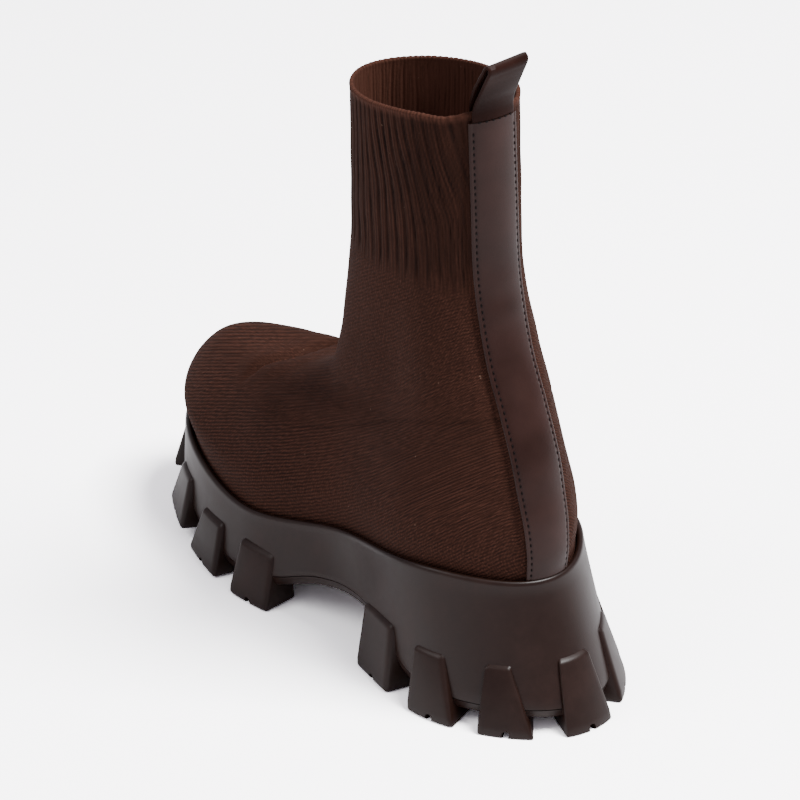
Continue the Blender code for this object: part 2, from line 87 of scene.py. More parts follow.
# %% Sizes of the last, the sole and the trim
RIM_LENGTH = 245.0 * MM
RIM_BACK = 19.0 * MM
BALL_WIDTH = 91.2 * MM
TOE_SWING = 2.6 * MM
BOOT_HEIGHT = 248.0 * MM
COLLAR_DEPTH = 81.0 * MM
COLLAR_WIDTH = 56.5 * MM
COLLAR_BACK = -23.5 * MM
KNIT_WALL = 2.0 * MM
HEEL_HEIGHT = 60.0 * MM
BALL_HEIGHT = 35.0 * MM
TOE_SPRING = 12.0 * MM
TOE_FLARE = 8.0 * MM
HEEL_FLARE = 25.0 * MM
SIDE_FLARE = 11.0 * MM
LIP_WIDTH = 3.0 * MM
LIP_ROUND = 2.4 * MM
CUP_DEPTH = 5.0 * MM
WEB_HEIGHT = 6.0 * MM
ARCH_HEIGHT = 22.0 * MM
BAND_HEIGHT = 4.5 * MM
BAND_STEP = 1.5 * MM
WALL_CURVE = 1.1
GAP = 0.3 * MM

# %% [markdown]
# ## A curve through a short table
# A shoemaker's last is described by a few sections. `smooth` runs a cubic through such a
# table: each span is a Hermite curve whose end slopes are the average slopes of the rows
# round it, so the result passes through every row without a kink.

# %% The cubic that joins table rows
def hermite(t, step, start, end):
    """Cubic at a share t of a step, between a start and an end of (value, slope)."""
    leave = (1 + 2 * t) * (1 - t) ** 2 * start[0] + t * (1 - t) ** 2 * step * start[1]
    arrive = t * t * (3 - 2 * t) * end[0] + t * t * (t - 1) * step * end[1]
    return leave + arrive


def smooth(x, places, values):
    """Cubic Hermite curve through values (n, ...) given at n rising places."""
    places, values, x = (np.asarray(v, float) for v in (places, values, x))
    slopes = np.gradient(values, places, axis=0)
    row = np.clip(np.searchsorted(places, x, side="right") - 1, 0, len(places) - 2)
    step = places[row + 1] - places[row]
    t = (x - places[row]) / step
    if values.ndim > 1:
        t = t.reshape(t.shape + (1,) * (values.ndim - 1))
        step = step.reshape(t.shape)
    return hermite(t, step, (values[row], slopes[row]), (values[row + 1], slopes[row + 1]))


def run_along(points):
    """Distance along a line of points from the first one to each."""
    steps = np.linalg.norm(np.diff(points, axis=0), axis=1)
    return np.concatenate([[0.0], np.cumsum(steps)])


def ease(x, low, high):
    """Smooth step: 0 below low, 1 above high, with a soft start and end."""
    t = np.clip((np.asarray(x, float) - low) / (high - low), 0, 1)
    return t * t * (3 - 2 * t)


def hump(x, reach):
    """Bell curve: 1 at zero, and e to the minus one at a reach from it."""
    return np.exp(-(x / reach) ** 2)


FULL_TURN = np.linspace(0, 2 * np.pi, 721)
print("smooth step at a third of the way:", round(float(ease(1, 0, 3)), 3))

# %% [markdown]
# ## Plan curves round the shoe
# Every closed curve round the shoe is a function of one angle: 0 at the toe tip, a quarter
# turn at the outer side, half a turn at the back of the heel. Its half width is a round-ended
# oval, scaled so that it passes through the widths of the toe, ball, waist and heel.

# %% The outline of the rim and of the floor
STATIONS = (0.13, 0.36, 0.60, 0.87)
RIM_OUTER = (0.795, 0.990, 0.772, 0.804)
RIM_INNER = (0.833, 1.009, 0.767, 0.812)
FLARE_OUTER = (0.52, 1.01, 0.92, 0.66)
FLARE_INNER = (0.36, 0.38, 0.63, 0.67)


def share_along(theta):
    """Share of the length from toe to heel: half of one minus the cosine."""
    return (1 - np.cos(theta)) / 2


def half_width(share, widths):
    """Oval half width along the shoe that passes through the four stations."""
    stations = np.array(STATIONS)
    scaled = np.asarray(widths) / np.sqrt(4 * stations * (1 - stations))
    table = np.concatenate([scaled[:1], scaled, scaled[-1:]])
    fullness = smooth(share, (0.0, *STATIONS, 1.0), table)
    return fullness * np.sqrt(np.clip(4 * share * (1 - share), 0, None))


def oval(theta, front, back, outer, inner, swing):
    """Plan curve from its two ends and four half widths a side; the toe swings inward."""
    share = share_along(theta)
    x = np.where(np.sin(theta) >= 0, half_width(share, outer), -half_width(share, inner))
    x = x - swing * np.clip((0.55 - share) / 0.55, 0, 1) ** 1.5
    return np.stack([x, front + (back - front) * share], -1)


def footprint(theta, flare):
    """Plan outline of the sole: flare 0 is the rim, 1 the lugs on the floor."""
    front = RIM_BACK - RIM_LENGTH - flare * TOE_FLARE
    back = RIM_BACK + flare * HEEL_FLARE
    outer = np.array(RIM_OUTER) * BALL_WIDTH / 2 + flare * np.array(FLARE_OUTER) * SIDE_FLARE
    inner = np.array(RIM_INNER) * BALL_WIDTH / 2 + flare * np.array(FLARE_INNER) * SIDE_FLARE
    return oval(theta, front, back, outer, inner, TOE_SWING)


def inset(theta, flare, depth):
    """The footprint moved in by depth, square to its own edge."""
    step = 0.002
    along = footprint(theta + step, flare) - footprint(theta - step, flare)
    along = along / np.linalg.norm(along, axis=-1, keepdims=True)
    inward = np.stack([-along[..., 1], along[..., 0]], -1)
    return footprint(theta, flare) + inward * np.asarray(depth)[..., None]


def join_height(plan, height):
    """Plan points and their heights as points in space."""
    return np.concatenate([plan, np.broadcast_to(height, plan.shape[:-1])[..., None]], -1)


turn = np.linspace(0, 2 * np.pi, 5)[:4]
print("rim's toe, outer side, heel, inner side in mm:")
print((footprint(turn, 0.0) / MM).round(1).tolist())

# %% [markdown]
# ## Heights along the sole
# Four heights shape the sole from the side: its rim, the cup that the foot stands in, the
# spring of the toe off the floor, and the underside with its arch.

# %% Rim, cup, toe spring and arch
RIM_LINE = ((0.00, 0.39), (0.15, 0.27), (0.36, 0.00), (0.60, 0.48), (0.87, 1.02), (1.00, 0.97))
ARCH_LINE = (
    (0.00, 0.00), (0.34, 0.00), (0.44, 0.18), (0.53, 0.62), (0.60, 0.76),
    (0.66, 0.70), (0.76, 0.14), (0.86, 0.00), (1.00, 0.00),
)
SPRING_START = 0.356
SPRING_CURVE = 1.3


def rim_at(share):
    """Height of the rim at a share of its length, from the table."""
    place, rise = np.array(RIM_LINE).T
    return BALL_HEIGHT + (HEEL_HEIGHT - BALL_HEIGHT) * smooth(share, place, rise)


def rim_height(theta):
    """Height of the sole's top edge round the shoe."""
    return rim_at(share_along(theta))


def footbed_height(y):
    """Height of the cup's floor, a fixed depth under the rim beside it."""
    return rim_at(np.clip((y - RIM_BACK + RIM_LENGTH) / RIM_LENGTH, 0, 1)) - CUP_DEPTH


def floor_share(y):
    """Place along the floor outline, 0 at the toe and 1 at the heel."""
    front = RIM_BACK - RIM_LENGTH - TOE_FLARE
    return (y - front) / (RIM_LENGTH + TOE_FLARE + HEEL_FLARE)


def toe_rise(y):
    """How far the lugs' feet are off the floor: a power of the way to the tip."""
    ahead = np.clip((SPRING_START - floor_share(y)) / SPRING_START, 0, 1.2)
    return TOE_SPRING * ahead ** SPRING_CURVE


def web_height(y):
    """Height of the underside between the lugs, with the arch."""
    place, rise = np.array(ARCH_LINE).T
    arch = ARCH_HEIGHT * smooth(np.clip(floor_share(y), 0, 1), place, rise)
    return WEB_HEIGHT + np.clip(arch, 0, None) + toe_rise(y)


print("rim at toe, ball and heel in mm:", (rim_at(np.array([0, 0.36, 1])) / MM).round(1).tolist())

# %% [markdown]
# ## From a grid of points to a mesh
# A surface here is an array of points: rows one way, columns the other. One helper turns
# such a grid into a mesh in one go, with its texture places stored at each face's corners,
# so that a pattern may run round a closed tube and meet itself without a smear.

# %% Mesh helpers
def link_object(name, data):
    """A new object in the scene for a mesh, a light's or a camera's data."""
    item = bpy.data.objects.new(name, data)
    bpy.context.scene.collection.objects.link(item)
    return item


def quad_indices(rows, columns, round_rows=False, round_columns=True):
    """Corner numbers of the faces between neighbours, and the same before wrapping."""
    last_row = rows if round_rows else rows - 1
    last_column = columns if round_columns else columns - 1
    r, c = np.meshgrid(np.arange(last_row), np.arange(last_column), indexing="ij")
    corners = [(r, c), (r, c + 1), (r + 1, c + 1), (r + 1, c)]
    flat = [((a % rows) * columns + b % columns).ravel() for a, b in corners]
    plain = [(a.ravel(), b.ravel()) for a, b in corners]
    return np.stack(flat, -1), plain


def mesh_from_grid(name, points, round_rows=False, round_columns=True, uvs=None, marks=None):
    """Object from a (rows, columns, 3) grid; uvs are grids one larger where it wraps."""
    rows, columns = points.shape[:2]
    faces, plain = quad_indices(rows, columns, round_rows, round_columns)
    mesh = bpy.data.meshes.new(name)
    mesh.from_pydata(points.reshape(-1, 3).tolist(), [], faces.tolist())
    for layer, grid in (uvs or {}).items():
        corners = np.stack([grid[a, b] for a, b in plain], 1)
        mesh.uv_layers.new(name=layer).data.foreach_set("uv", corners.ravel())
    for layer, grid in (marks or {}).items():
        mark = mesh.attributes.new(layer, "FLOAT", "POINT")
        mark.data.foreach_set("value", grid.ravel())
    return link_object(name, mesh)


@contextmanager
def editing(data):
    """Lend a mesh for editing as a BMesh, and write it back at the end."""
    mesh = bmesh.new()
    mesh.from_mesh(data)
    mesh.verts.ensure_lookup_table()
    yield mesh
    mesh.to_mesh(data)
    mesh.free()


def tidy_mesh(item, merge=0.01 * MM):
    """Merge points that coincide, turn all faces outward and shade smooth."""
    with editing(item.data) as mesh:
        bmesh.ops.remove_doubles(mesh, verts=mesh.verts, dist=merge)
        bmesh.ops.dissolve_degenerate(mesh, edges=mesh.edges, dist=merge)
        bmesh.ops.recalc_face_normals(mesh, faces=mesh.faces)
    item.data.shade_smooth()
    return item


def close_ends(item, rows, count):
    """Close the two ends of a tube-shaped grid with one face each."""
    with editing(item.data) as mesh:
        for start in (0, (rows - 1) * count):
            mesh.faces.new([mesh.verts[start + i] for i in range(count)])
        bmesh.ops.recalc_face_normals(mesh, faces=mesh.faces)
    return item


def shade(item, sharp):
    """Shade smooth, but keep the edges that are sharper than an angle in degrees."""
    item.data.shade_smooth()
    item.data.set_sharp_from_angle(angle=np.radians(sharp))
    return item


def apply_modifiers(item):
    """Replace an object's mesh by the mesh that its modifiers give."""
    evaluated = item.evaluated_get(bpy.context.evaluated_depsgraph_get())
    mesh = bpy.data.meshes.new_from_object(evaluated)
    item.modifiers.clear()
    item.data = mesh
    return item


def unit(vectors):
    """The same directions with length one."""
    return vectors / np.linalg.norm(vectors, axis=-1, keepdims=True)


def grid_normals(points, round_columns=True):
    """Outward directions of a grid, from the steps to the neighbours on both sides."""
    up = np.gradient(points, axis=0)
    if round_columns:
        wrapped = np.concatenate([points[:, -1:], points, points[:, :1]], 1)
        across = (wrapped[:, 2:] - wrapped[:, :-2]) / 2
    else:
        across = np.gradient(points, axis=1)
    return unit(np.cross(across, up))


print("a grid of 4 by 5 points makes", len(quad_indices(4, 5)[0]), "faces round a tube")

# %% [markdown]
# ## Nodes for materials
# A procedural material is a small graph. One function adds a node, sets its properties and
# inputs, and links what it is given, so a whole material reads like a list of steps.
# Colours are picked as sRGB hex values and turned to linear light in one place.

# %% Material helpers
def linear(hex_colour):
    """sRGB hex colour as linear red, green, blue and alpha."""
    srgb = np.array([int(hex_colour[i:i + 2], 16) for i in (1, 3, 5)]) / 255
    rgb = np.where(srgb <= 0.04045, srgb / 12.92, ((srgb + 0.055) / 1.055) ** 2.4)
    return (*rgb.tolist(), 1.0)


def add_node(tree, kind, settings=None, **inputs):
    """Add a node; inputs are values or sockets, by name or as in_0, in_1 by number."""
    node = tree.nodes.new("ShaderNode" + kind)
    for key, value in (settings or {}).items():
        setattr(node, key, value)
    for key, value in inputs.items():
        number = key.startswith("in_")
        socket = node.inputs[int(key[3:])] if number else node.inputs[key.replace("_", " ")]
        if isinstance(value, bpy.types.NodeSocket):
            tree.links.new(value, socket)
        else:
            socket.default_value = value
    return node


def new_material(name, **shader_inputs):
    """A material with its Principled shader's constant sockets set."""
    material = bpy.data.materials.new(name)
    material.use_nodes = True
    shader = material.node_tree.nodes["Principled BSDF"]
    for key, value in shader_inputs.items():
        shader.inputs[key.replace("_", " ")].default_value = value
    return material, material.node_tree, shader


def ramp(tree, factor, stops):
    """A colour ramp with (place, hex colour) stops, fed by a factor socket."""
    node = add_node(tree, "ValToRGB", Fac=factor)
    elements = node.color_ramp.elements
    while len(elements) < len(stops):
        elements.new(0.5)
    for element, (place, colour) in zip(elements, stops):
        element.position = place
        element.color = linear(colour)
    return node.outputs["Color"]


def maths(tree, operation, a, b=0.0, c=0.0):
    """One Math node: operation on a, b and c, which are values or sockets."""
    node = add_node(tree, "Math", {"operation": operation}, in_0=a, in_1=b, in_2=c)
    return node.outputs[0]


def weighted(tree, total, *terms):
    """A start value plus each (socket, weight) term: a chain of Math nodes."""
    for socket, weight in terms:
        total = maths(tree, "MULTIPLY_ADD", socket, weight, total)
    return total


def object_place(tree):
    """Texture place that stays with the object."""
    return add_node(tree, "TexCoord").outputs["Object"]


def noise(tree, place, scale, detail=2.0, roughness=0.5):
    """Value of a noise texture with a number of lumps to a metre."""
    node = add_node(tree, "TexNoise", Vector=place, Scale=scale, Detail=detail,
                    Roughness=roughness)
    return node.outputs["Fac"]


def feed(tree, shader, **sockets):
    """Link sockets to a shader's inputs by name."""
    for key, socket in sockets.items():
        tree.links.new(socket, shader.inputs[key.replace("_", " ")])


def add_bump(tree, shader, height, strength, distance):
    """Tilt the shader's normal by the slope of a height."""
    bump = add_node(tree, "Bump", Strength=strength, Distance=distance, Height=height)
    feed(tree, shader, Normal=bump.outputs["Normal"])


print("dark brown in linear light:", [round(v, 3) for v in linear("#3a241c")[:3]])

# %% [markdown]
# ## The camera
# The photo looks at the boot from behind its outer side: 145 degrees round from the toe
# and 28 degrees above the floor, from far enough away that the lines hardly converge. The
# frame is turned to the one boot, which the long lens fills the picture with.

# %% Camera
VIEW_ROUND = 145.0
VIEW_ABOVE = 28.0
VIEW_DISTANCE = 2.2
VIEW_AIM = (13.7 * MM, -66.9 * MM, 105.9 * MM)
PIXELS_PER_MM = 2.4875
PICTURE_SIZE = 800
SENSOR = 36.0

angle_round, angle_above = np.radians([VIEW_ROUND, VIEW_ABOVE])
toward_camera = np.array([
    np.sin(angle_round) * np.cos(angle_above),
    -np.cos(angle_round) * np.cos(angle_above),
    np.sin(angle_above),
])
camera_data = bpy.data.cameras.new("camera")
camera_data.sensor_width = SENSOR
camera_data.lens = PIXELS_PER_MM / MM * VIEW_DISTANCE / PICTURE_SIZE * SENSOR
camera_data.clip_end = 20.0
camera = link_object("camera", camera_data)
camera.location = np.array(VIEW_AIM) + toward_camera * VIEW_DISTANCE
camera.rotation_euler = Vector(toward_camera).to_track_quat("Z", "Y").to_euler()
bpy.context.scene.camera = camera
print("lens in mm:", round(camera_data.lens, 1))

# %% [markdown]
# ## The knitted upper: its sections
# The real upper is one sock, knitted to shape and steamed on the last. Its form is a stack
# of ovals: near the sole they follow the rim, over the instep they shrink and tip, and up
# the shaft they match the collar. The tables give each oval's front, back and widths.

# %% Sections of the upper
SECTIONS = (
    # u    front   fz     back   bz     toe    ball   waist  heel
    (0.11, 0.000, 0.222, 0.010, 0.278, 0.790, 0.970, 0.765, 0.770),
    (0.18, 0.006, 0.253, 0.014, 0.325, 0.702, 0.924, 0.755, 0.755),
    (0.26, 0.044, 0.295, 0.026, 0.375, 0.528, 0.827, 0.715, 0.705),
    (0.36, 0.113, 0.320, 0.042, 0.432, 0.412, 0.674, 0.680, 0.650),
    (0.49, 0.321, 0.354, 0.078, 0.510, 0.351, 0.559, 0.620, 0.580),
    (0.62, 0.441, 0.441, 0.121, 0.596, 0.424, 0.570, 0.585, 0.525),
)
SHAFT = (
    # u    front   fz     back   bz     wide
    (0.75, 0.029, 0.656, 0.065, 0.716, 0.960),
    (0.88, 0.000, 0.800, 0.030, 0.855, 0.975),
    (1.00, 0.000, 0.959, 0.000, 1.000, 1.000),
)
SHAFT_OVAL = (0.70, 0.98, 1.00, 0.74)
RIM_PLACE = 0.045


def upper_rings(theta):
    """The level rows of the upper: their places u and points (rows, angles, 3)."""
    share = share_along(theta)
    rim = rim_height(theta)
    ends = rim_height(np.array([0.0, np.pi]))
    dip = rim - (ends[0] + (ends[1] - ends[0]) * share)
    tuck = inset(theta, 0.0, LIP_WIDTH + GAP)
    places = [0.0, RIM_PLACE]
    rows = [join_height(tuck, footbed_height(tuck[:, 1]) + GAP), join_height(tuck, rim)]
    for u, front, fz, back, bz, *widths in SECTIONS:
        fade = max(0.0, 1 - u / 0.5) ** 1.5
        half = np.array(widths) * BALL_WIDTH / 2
        plan = oval(theta, RIM_BACK - RIM_LENGTH + front * RIM_LENGTH,
                    RIM_BACK - back * RIM_LENGTH, half, half, TOE_SWING * max(0.0, 1 - u / 0.6))
        places.append(u)
        rows.append(join_height(plan, (fz + (bz - fz) * share) * BOOT_HEIGHT + dip * fade))
    for u, front, fz, back, bz, wide in SHAFT:
        half = np.array(SHAFT_OVAL) * wide * COLLAR_WIDTH / 2
        plan = oval(theta, COLLAR_BACK - COLLAR_DEPTH - front * COLLAR_DEPTH,
                    COLLAR_BACK + back * COLLAR_DEPTH, half, half, 0.0)
        places.append(u)
        rows.append(join_height(plan, (fz + (bz - fz) * share) * BOOT_HEIGHT))
    return np.array(places), np.stack(rows)


def upper_point(u, theta):
    """Outer face of the upper at arrays of u and theta of one shape."""
    u, theta = np.broadcast_arrays(np.asarray(u, float), np.asarray(theta, float))
    places, rows = upper_rings(theta.ravel())
    flat = u.ravel()
    slopes = np.gradient(rows, places, axis=0)
    row = np.clip(np.searchsorted(places, flat, side="right") - 1, 0, len(places) - 2)
    pick = np.arange(flat.size)
    step = (places[row + 1] - places[row])[:, None]
    t = (flat - places[row])[:, None] / step
    ends = [(rows[at, pick], slopes[at, pick]) for at in (row, row + 1)]
    return hermite(t, step, *ends).reshape(u.shape + (3,))


def upper_normal(u, theta):
    """Outward direction of the upper's face, from two short steps along it."""
    step = 0.004
    up = upper_point(np.clip(u + step, 0, 1), theta) - upper_point(np.clip(u - step, 0, 1), theta)
    across = upper_point(u, theta + step) - upper_point(u, theta - step)
    return unit(np.cross(across, up))


collar_run = run_along(upper_point(1.0, FULL_TURN))
COLLAR_GIRTH = collar_run[-1]
print("girth of the collar in mm:", round(COLLAR_GIRTH / MM, 1))

# %% [markdown]
# ## The knit's relief
# The shaft is a rib: raised cords of stitches with narrow valleys between, about 5 mm
# apart, which draw the knit in to the leg. Each cord holds three fine wales. Near the strip
# the ribs lean, because the seam gathers them, and 70 mm down they end and a plain knit
# begins, whose rows run obliquely on the foot. The ribs and the soft folds are real relief
# in the mesh, and only the single stitches are left to the material.

# %% Ribs, folds and the collar's rolled edge
RIBS = 44
COLUMNS_PER_RIB = 11
RIB_HEIGHT = 1.0 * MM
RIB_END = 175.0 * MM
LEAN_RIBS = 1.8
EDGE_ROLL = 1.3 * MM
BINDING = 1.3 * MM
STRIP_WIDTH = 22.0 * MM
OUTER_ROWS = 120
INNER_ROWS = 34

columns = RIBS * COLUMNS_PER_RIB
fine_theta = np.interp(np.linspace(0, 1, columns + 1), collar_run / COLLAR_GIRTH, FULL_TURN)

WALES_PER_RIB = 3
WALE_STRETCH = 5.0 * MM
STITCH_WIDTH = 1.3 * MM

# Rows of the foot's knit: slope from the side, its bend over the arch, a further bend at
# the heel, slope across the foot, and pitch in mm
ROW_SLOPE = 0.436
ROW_BEND = 0.00124
ROW_BACK = 0.004
ROW_ACROSS = 0.305
ROW_PITCH = 1.5

# Line where the shaft's knit meets the foot's, side view: y and z in millimetres
KNIT_BORDER = (
    (-200, 110), (-181, 90), (-170, 76), (-155, 77), (-130, 78),
    (-107, 83), (-70, 99), (-40, 114), (5, 126), (30, 131),
)


def over_border(points):
    """Height over the line where the two knits meet, in metres; negative on the foot."""
    y, z = np.array(KNIT_BORDER, float).T * MM
    return points[..., 2] - smooth(np.clip(points[..., 1], y[0], y[-1]), y, z)


def row_number(points):
    """Number of the foot's knit row at each point: a height less the rows' own rise."""
    x, y, z = np.moveaxis(points / MM, -1, 0)
    bend = np.clip(y + 140, 0, 70) ** 2 + 140 * np.clip(y + 70, 0, None)
    rise = ROW_SLOPE * y + ROW_BEND * bend + ROW_BACK * np.clip(y + 60, 0, None) ** 2
    return (z - rise - ROW_ACROSS * x) / np.hypot(1, ROW_SLOPE) / ROW_PITCH


def from_seam(share):
    """Way round the collar from the back seam, in metres: minus on the outer side."""
    return (share - 0.5) * COLLAR_GIRTH


def seam_offset(points):
    """True distance from the back seam's line, in metres, on the back half."""
    return np.abs(points[..., 0])


def wave(points, length, seed):
    """Soft uneven swell: the mean of three crossed sine waves of about one length."""
    spin = np.random.default_rng(seed)
    total = np.zeros(points.shape[:-1])
    for turn_by in spin.uniform(0.75, 1.3, 3):
        way = unit(spin.normal(size=3)) * 2 * np.pi / length * turn_by
        total = total + np.sin(points @ way + spin.uniform(0, 6.28))
    return total / 3


def rib_phase(share, points):
    """Number of ribs from the front; they wander, and lean to the seam near the collar."""
    away = from_seam(share)
    near = ease(np.abs(away), 4 * MM, 22 * MM) * (1 - ease(np.abs(away), 34 * MM, 74 * MM))
    high = ease(points[..., 2], 196 * MM, 246 * MM)
    tall = points * np.array([1.0, 1.0, 0.5])
    wander = 0.20 * wave(tall, 42 * MM, 15) + 0.14 * wave(tall, 12 * MM, 16)
    return RIBS * share - np.sign(away) * LEAN_RIBS * near * high + wander


def rib_relief(share, points):
    """Depth of the ribs' valleys, 0 on a rib's crown and minus one in a valley."""
    phase = rib_phase(share, points)
    broad = np.abs((phase % 1.0) - 0.5) * 2
    split = np.abs((WALES_PER_RIB * phase % 1.0) - 0.5) * 2
    depth = broad ** 5 * (0.80 + 0.45 * wave(points, 17 * MM, 17))
    strings = 1 - ease(np.abs(from_seam(share)), 26 * MM, 48 * MM)
    depth = depth * (1 - 0.55 * strings) + (0.12 + 0.36 * strings) * split ** 3
    end = RIB_END + 3.0 * MM * wave(points, 14 * MM, 4)
    zone = ease(points[..., 2], end - 5 * MM, end + 5 * MM)
    return -zone * np.clip(depth, 0, 1.1)


# Creases in mm: where one lies at x = 0, its lean with x, its reach and its rise
VAMP_CREASES = ((-158, -0.10, 1.9, -2.4), (-149, 0.0, 5.5, 0.9), (-167, 0.0, 6.0, 0.6))
THROAT_FOLDS = ((95, 0.10, 5.5, 0.7), (106, 0.06, 6.5, -1.2), (120, -0.05, 7.0, 0.3))


def ridges(value, x, table):
    """Sum of the table's humps, each a rise over a line that leans with x."""
    return sum(rise * hump(value - at - lean * x, reach) for at, lean, reach, rise in table)


def folds(points):
    """Main creases in metres, each a soft trough or ridge placed in the boot's sizes."""
    x, y, z = np.moveaxis(points / MM, -1, 0)
    border = over_border(points) / MM
    relief = -0.25 * hump(border + 0.4, 0.9) * ease(y, -118, -100)
    crossing = ease(x, -30, -10) * (1 - ease(x, 20, 30)) * ease(z, 70, 80)
    relief += crossing * ridges(y, x, VAMP_CREASES)
    relief += hump(y + 130, 22) * ridges(z, x, THROAT_FOLDS)
    back = ease(y, -35, -15) * ease(z, 62, 80)
    seam = seam_offset(points) / MM
    relief -= 0.45 * back * hump(seam - 12.2, 1.6)
    relief += 0.30 * back * hump(seam - 16.5, 3.0) * (1 + 0.6 * np.sin(z / 1.9))
    relief += 0.40 * wave(points, 70 * MM, 7) + 0.16 * wave(points, 21 * MM, 11) - 0.25
    return relief * MM * ease(z, 52, 66)


def clear_of_strip(points):
    """0 under the back strip, where the knit lies flat, and 1 beside it."""
    beside = ease(seam_offset(points), STRIP_WIDTH / 2 - 0.8 * MM, STRIP_WIDTH / 2 + 1.0 * MM)
    return np.where(points[..., 1] > -45 * MM, beside, 1.0)


print("knit columns:", columns, " ribs are", round(COLLAR_GIRTH / RIBS / MM, 2), "mm apart")

# %% [markdown]
# ## The knitted upper: one closed skin
# The grid runs up the outside, rolls over the collar and goes back down the inside, and
# its last row meets its first at the feather edge in the sole. That gives the wall its
# true thickness with no open edge. Two sets of texture places go with it: one counts the
# fine wales of the shaft, the other the stitches and oblique rows of the foot. Numbers at
# the points mark where the plain knit, the rows, the valleys, the edge and the inside are.

# %% Build the upper
def build_upper():
    """The whole sock as one tube-shaped skin, with its texture places and marks."""
    theta = fine_theta[:-1]
    share = np.linspace(0, 1, columns + 1)[:-1][None]
    top = 1.0 - 0.004
    levels = np.concatenate([[0.0, 0.02, RIM_PLACE], np.linspace(0.06, top, OUTER_ROWS - 3)])
    face = upper_point(levels[:, None], theta[None])
    normals = grid_normals(face)
    binding = ease(face[..., 2], face[-1, :, 2] - BINDING * 1.4, face[-1, :, 2] - BINDING * 0.7)
    ribs = rib_relief(share, face) * RIB_HEIGHT * (1 - binding)
    relief = (ribs + folds(face)) * clear_of_strip(face) - 0.1 * MM
    outer = face + normals * (relief + 0.15 * MM * binding)[..., None]

    inner_levels = top * (1 - np.linspace(0.0, 1.0, INNER_ROWS) ** 1.35)
    inner_face = upper_point(inner_levels[:, None], theta[None])
    inward = grid_normals(inner_face)
    hollow = -rib_relief(share + 0.5 / RIBS, inner_face) * 0.5 * RIB_HEIGHT
    hollow = hollow * ease(inner_face[0, :, 2] - inner_face[..., 2], BINDING * 0.6, BINDING * 1.5)
    inner = inner_face + inward * (KNIT_WALL + 0.2 * MM - hollow)[..., None]

    top_out, top_in = outer[-1], inner[0]
    middle = (top_out + top_in) / 2
    half = (top_out - top_in) / 2
    swing = np.linspace(0, np.pi, 9)[1:-1][:, None, None]
    stitch = 1 + 0.10 * np.cos(2 * np.pi * 2 * rib_phase(share, top_out[None]))[..., None]
    roll = middle + half * np.cos(swing) * 1.15
    roll = roll + np.array([0.0, 0.0, EDGE_ROLL]) * np.sin(swing) * stitch
    points = np.concatenate([outer, roll, inner])
    lift = 0.8 * MM * wave(points, 55 * MM, 3)
    sag = -1.6 * MM * hump(np.abs(from_seam(share)) - 20 * MM, 8 * MM)
    points[..., 2] += (lift + sag) * ease(points[..., 2], 210 * MM, 240 * MM)

    share_wrap = np.linspace(0, 1, columns + 1)
    wrapped = np.concatenate([points, points[:, :1]], 1)
    wrapped = np.concatenate([wrapped, wrapped[:1]])
    along = np.stack([run_along(row) for row in wrapped])
    wales = rib_phase(share_wrap, wrapped) * WALES_PER_RIB
    shaft_uv = np.stack([wales, wrapped[..., 2] / WALE_STRETCH], -1)
    foot_uv = np.stack([along / STITCH_WIDTH, row_number(wrapped)], -1)
    border = over_border(points) / MM
    rows = len(points)
    # The edge mark covers the collar's roll and its binding; the knit material paints them lighter,
    # a painted highlight from the top light.
    edge = np.zeros((rows, columns))
    edge[OUTER_ROWS - 1:OUTER_ROWS + 8] = 1.0
    edge[:OUTER_ROWS] = binding
    marks = {
        "plain": 1 - ease(points[..., 2], RIB_END - 8 * MM, RIB_END + 2 * MM),
        "border": hump(border + 0.4, 0.7) * ease(points[..., 1] / MM, -118, -100),
        "rows": (1 - ease(border, -1.5, 1.5)) * (1 - 0.5 * ease(points[..., 1] / MM, -125, -75)),
        "valley": -rib_relief(share, points) * (1 - edge),
        "edge": edge,
        "inside": np.repeat((np.arange(rows) >= OUTER_ROWS + 7).astype(float)[:, None], columns, 1),
    }
    item = mesh_from_grid("knit_upper", points, round_rows=True,
                          uvs={"shaft": shaft_uv, "foot": foot_uv}, marks=marks)
    item.data.shade_smooth()
    return item


upper = build_upper()
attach(upper, "root")
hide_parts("upper")
print("upper triangles:", 2 * len(upper.data.polygons))

# %% [markdown]
# ## Knitted polyester
# The yarn is a matte textured polyester, so it has no clear highlight, but its loose
# fibres catch light at grazing angles: that is sheen. The ribbed shaft varies with its fine
# wales and with long streaks of yarn, the plain knit with its rows, its single stitches and
# short flecks. The valleys between ribs are darker, because little light comes back out of
# them, and a few pale fibres stand out.

# %% Material of the knit
def knit_place(tree, layer, streak):
    """Texture place of a knit, slightly uneven, as its two directions, and a yarn noise."""
    place = add_node(tree, "UVMap", {"uv_map": layer}).outputs[0]
    uneven = add_node(tree, "TexNoise", Vector=place, Scale=0.35, Detail=2.0)
    shift = add_node(tree, "VectorMath", {"operation": "MULTIPLY_ADD"},
                     in_0=uneven.outputs["Color"], in_1=(0.8, 0.8, 0.0), in_2=place)
    stretched = add_node(tree, "VectorMath", {"operation": "MULTIPLY"},
                         in_0=shift.outputs[0], in_1=streak)
    yarn = add_node(tree, "TexNoise", Vector=stretched.outputs[0], Scale=1.0, Detail=2.0)
    parts = add_node(tree, "SeparateXYZ", Vector=shift.outputs[0])
    return parts.outputs[:2], yarn.outputs["Fac"]


def rounded(tree, value, sharpness):
    """Row of rounded ridges one apart: a triangle wave raised to a power."""
    triangle = maths(tree, "MULTIPLY", maths(tree, "PINGPONG", value, 0.5), 2.0)
    return maths(tree, "POWER", triangle, sharpness)


ROW_SHARP = 0.7


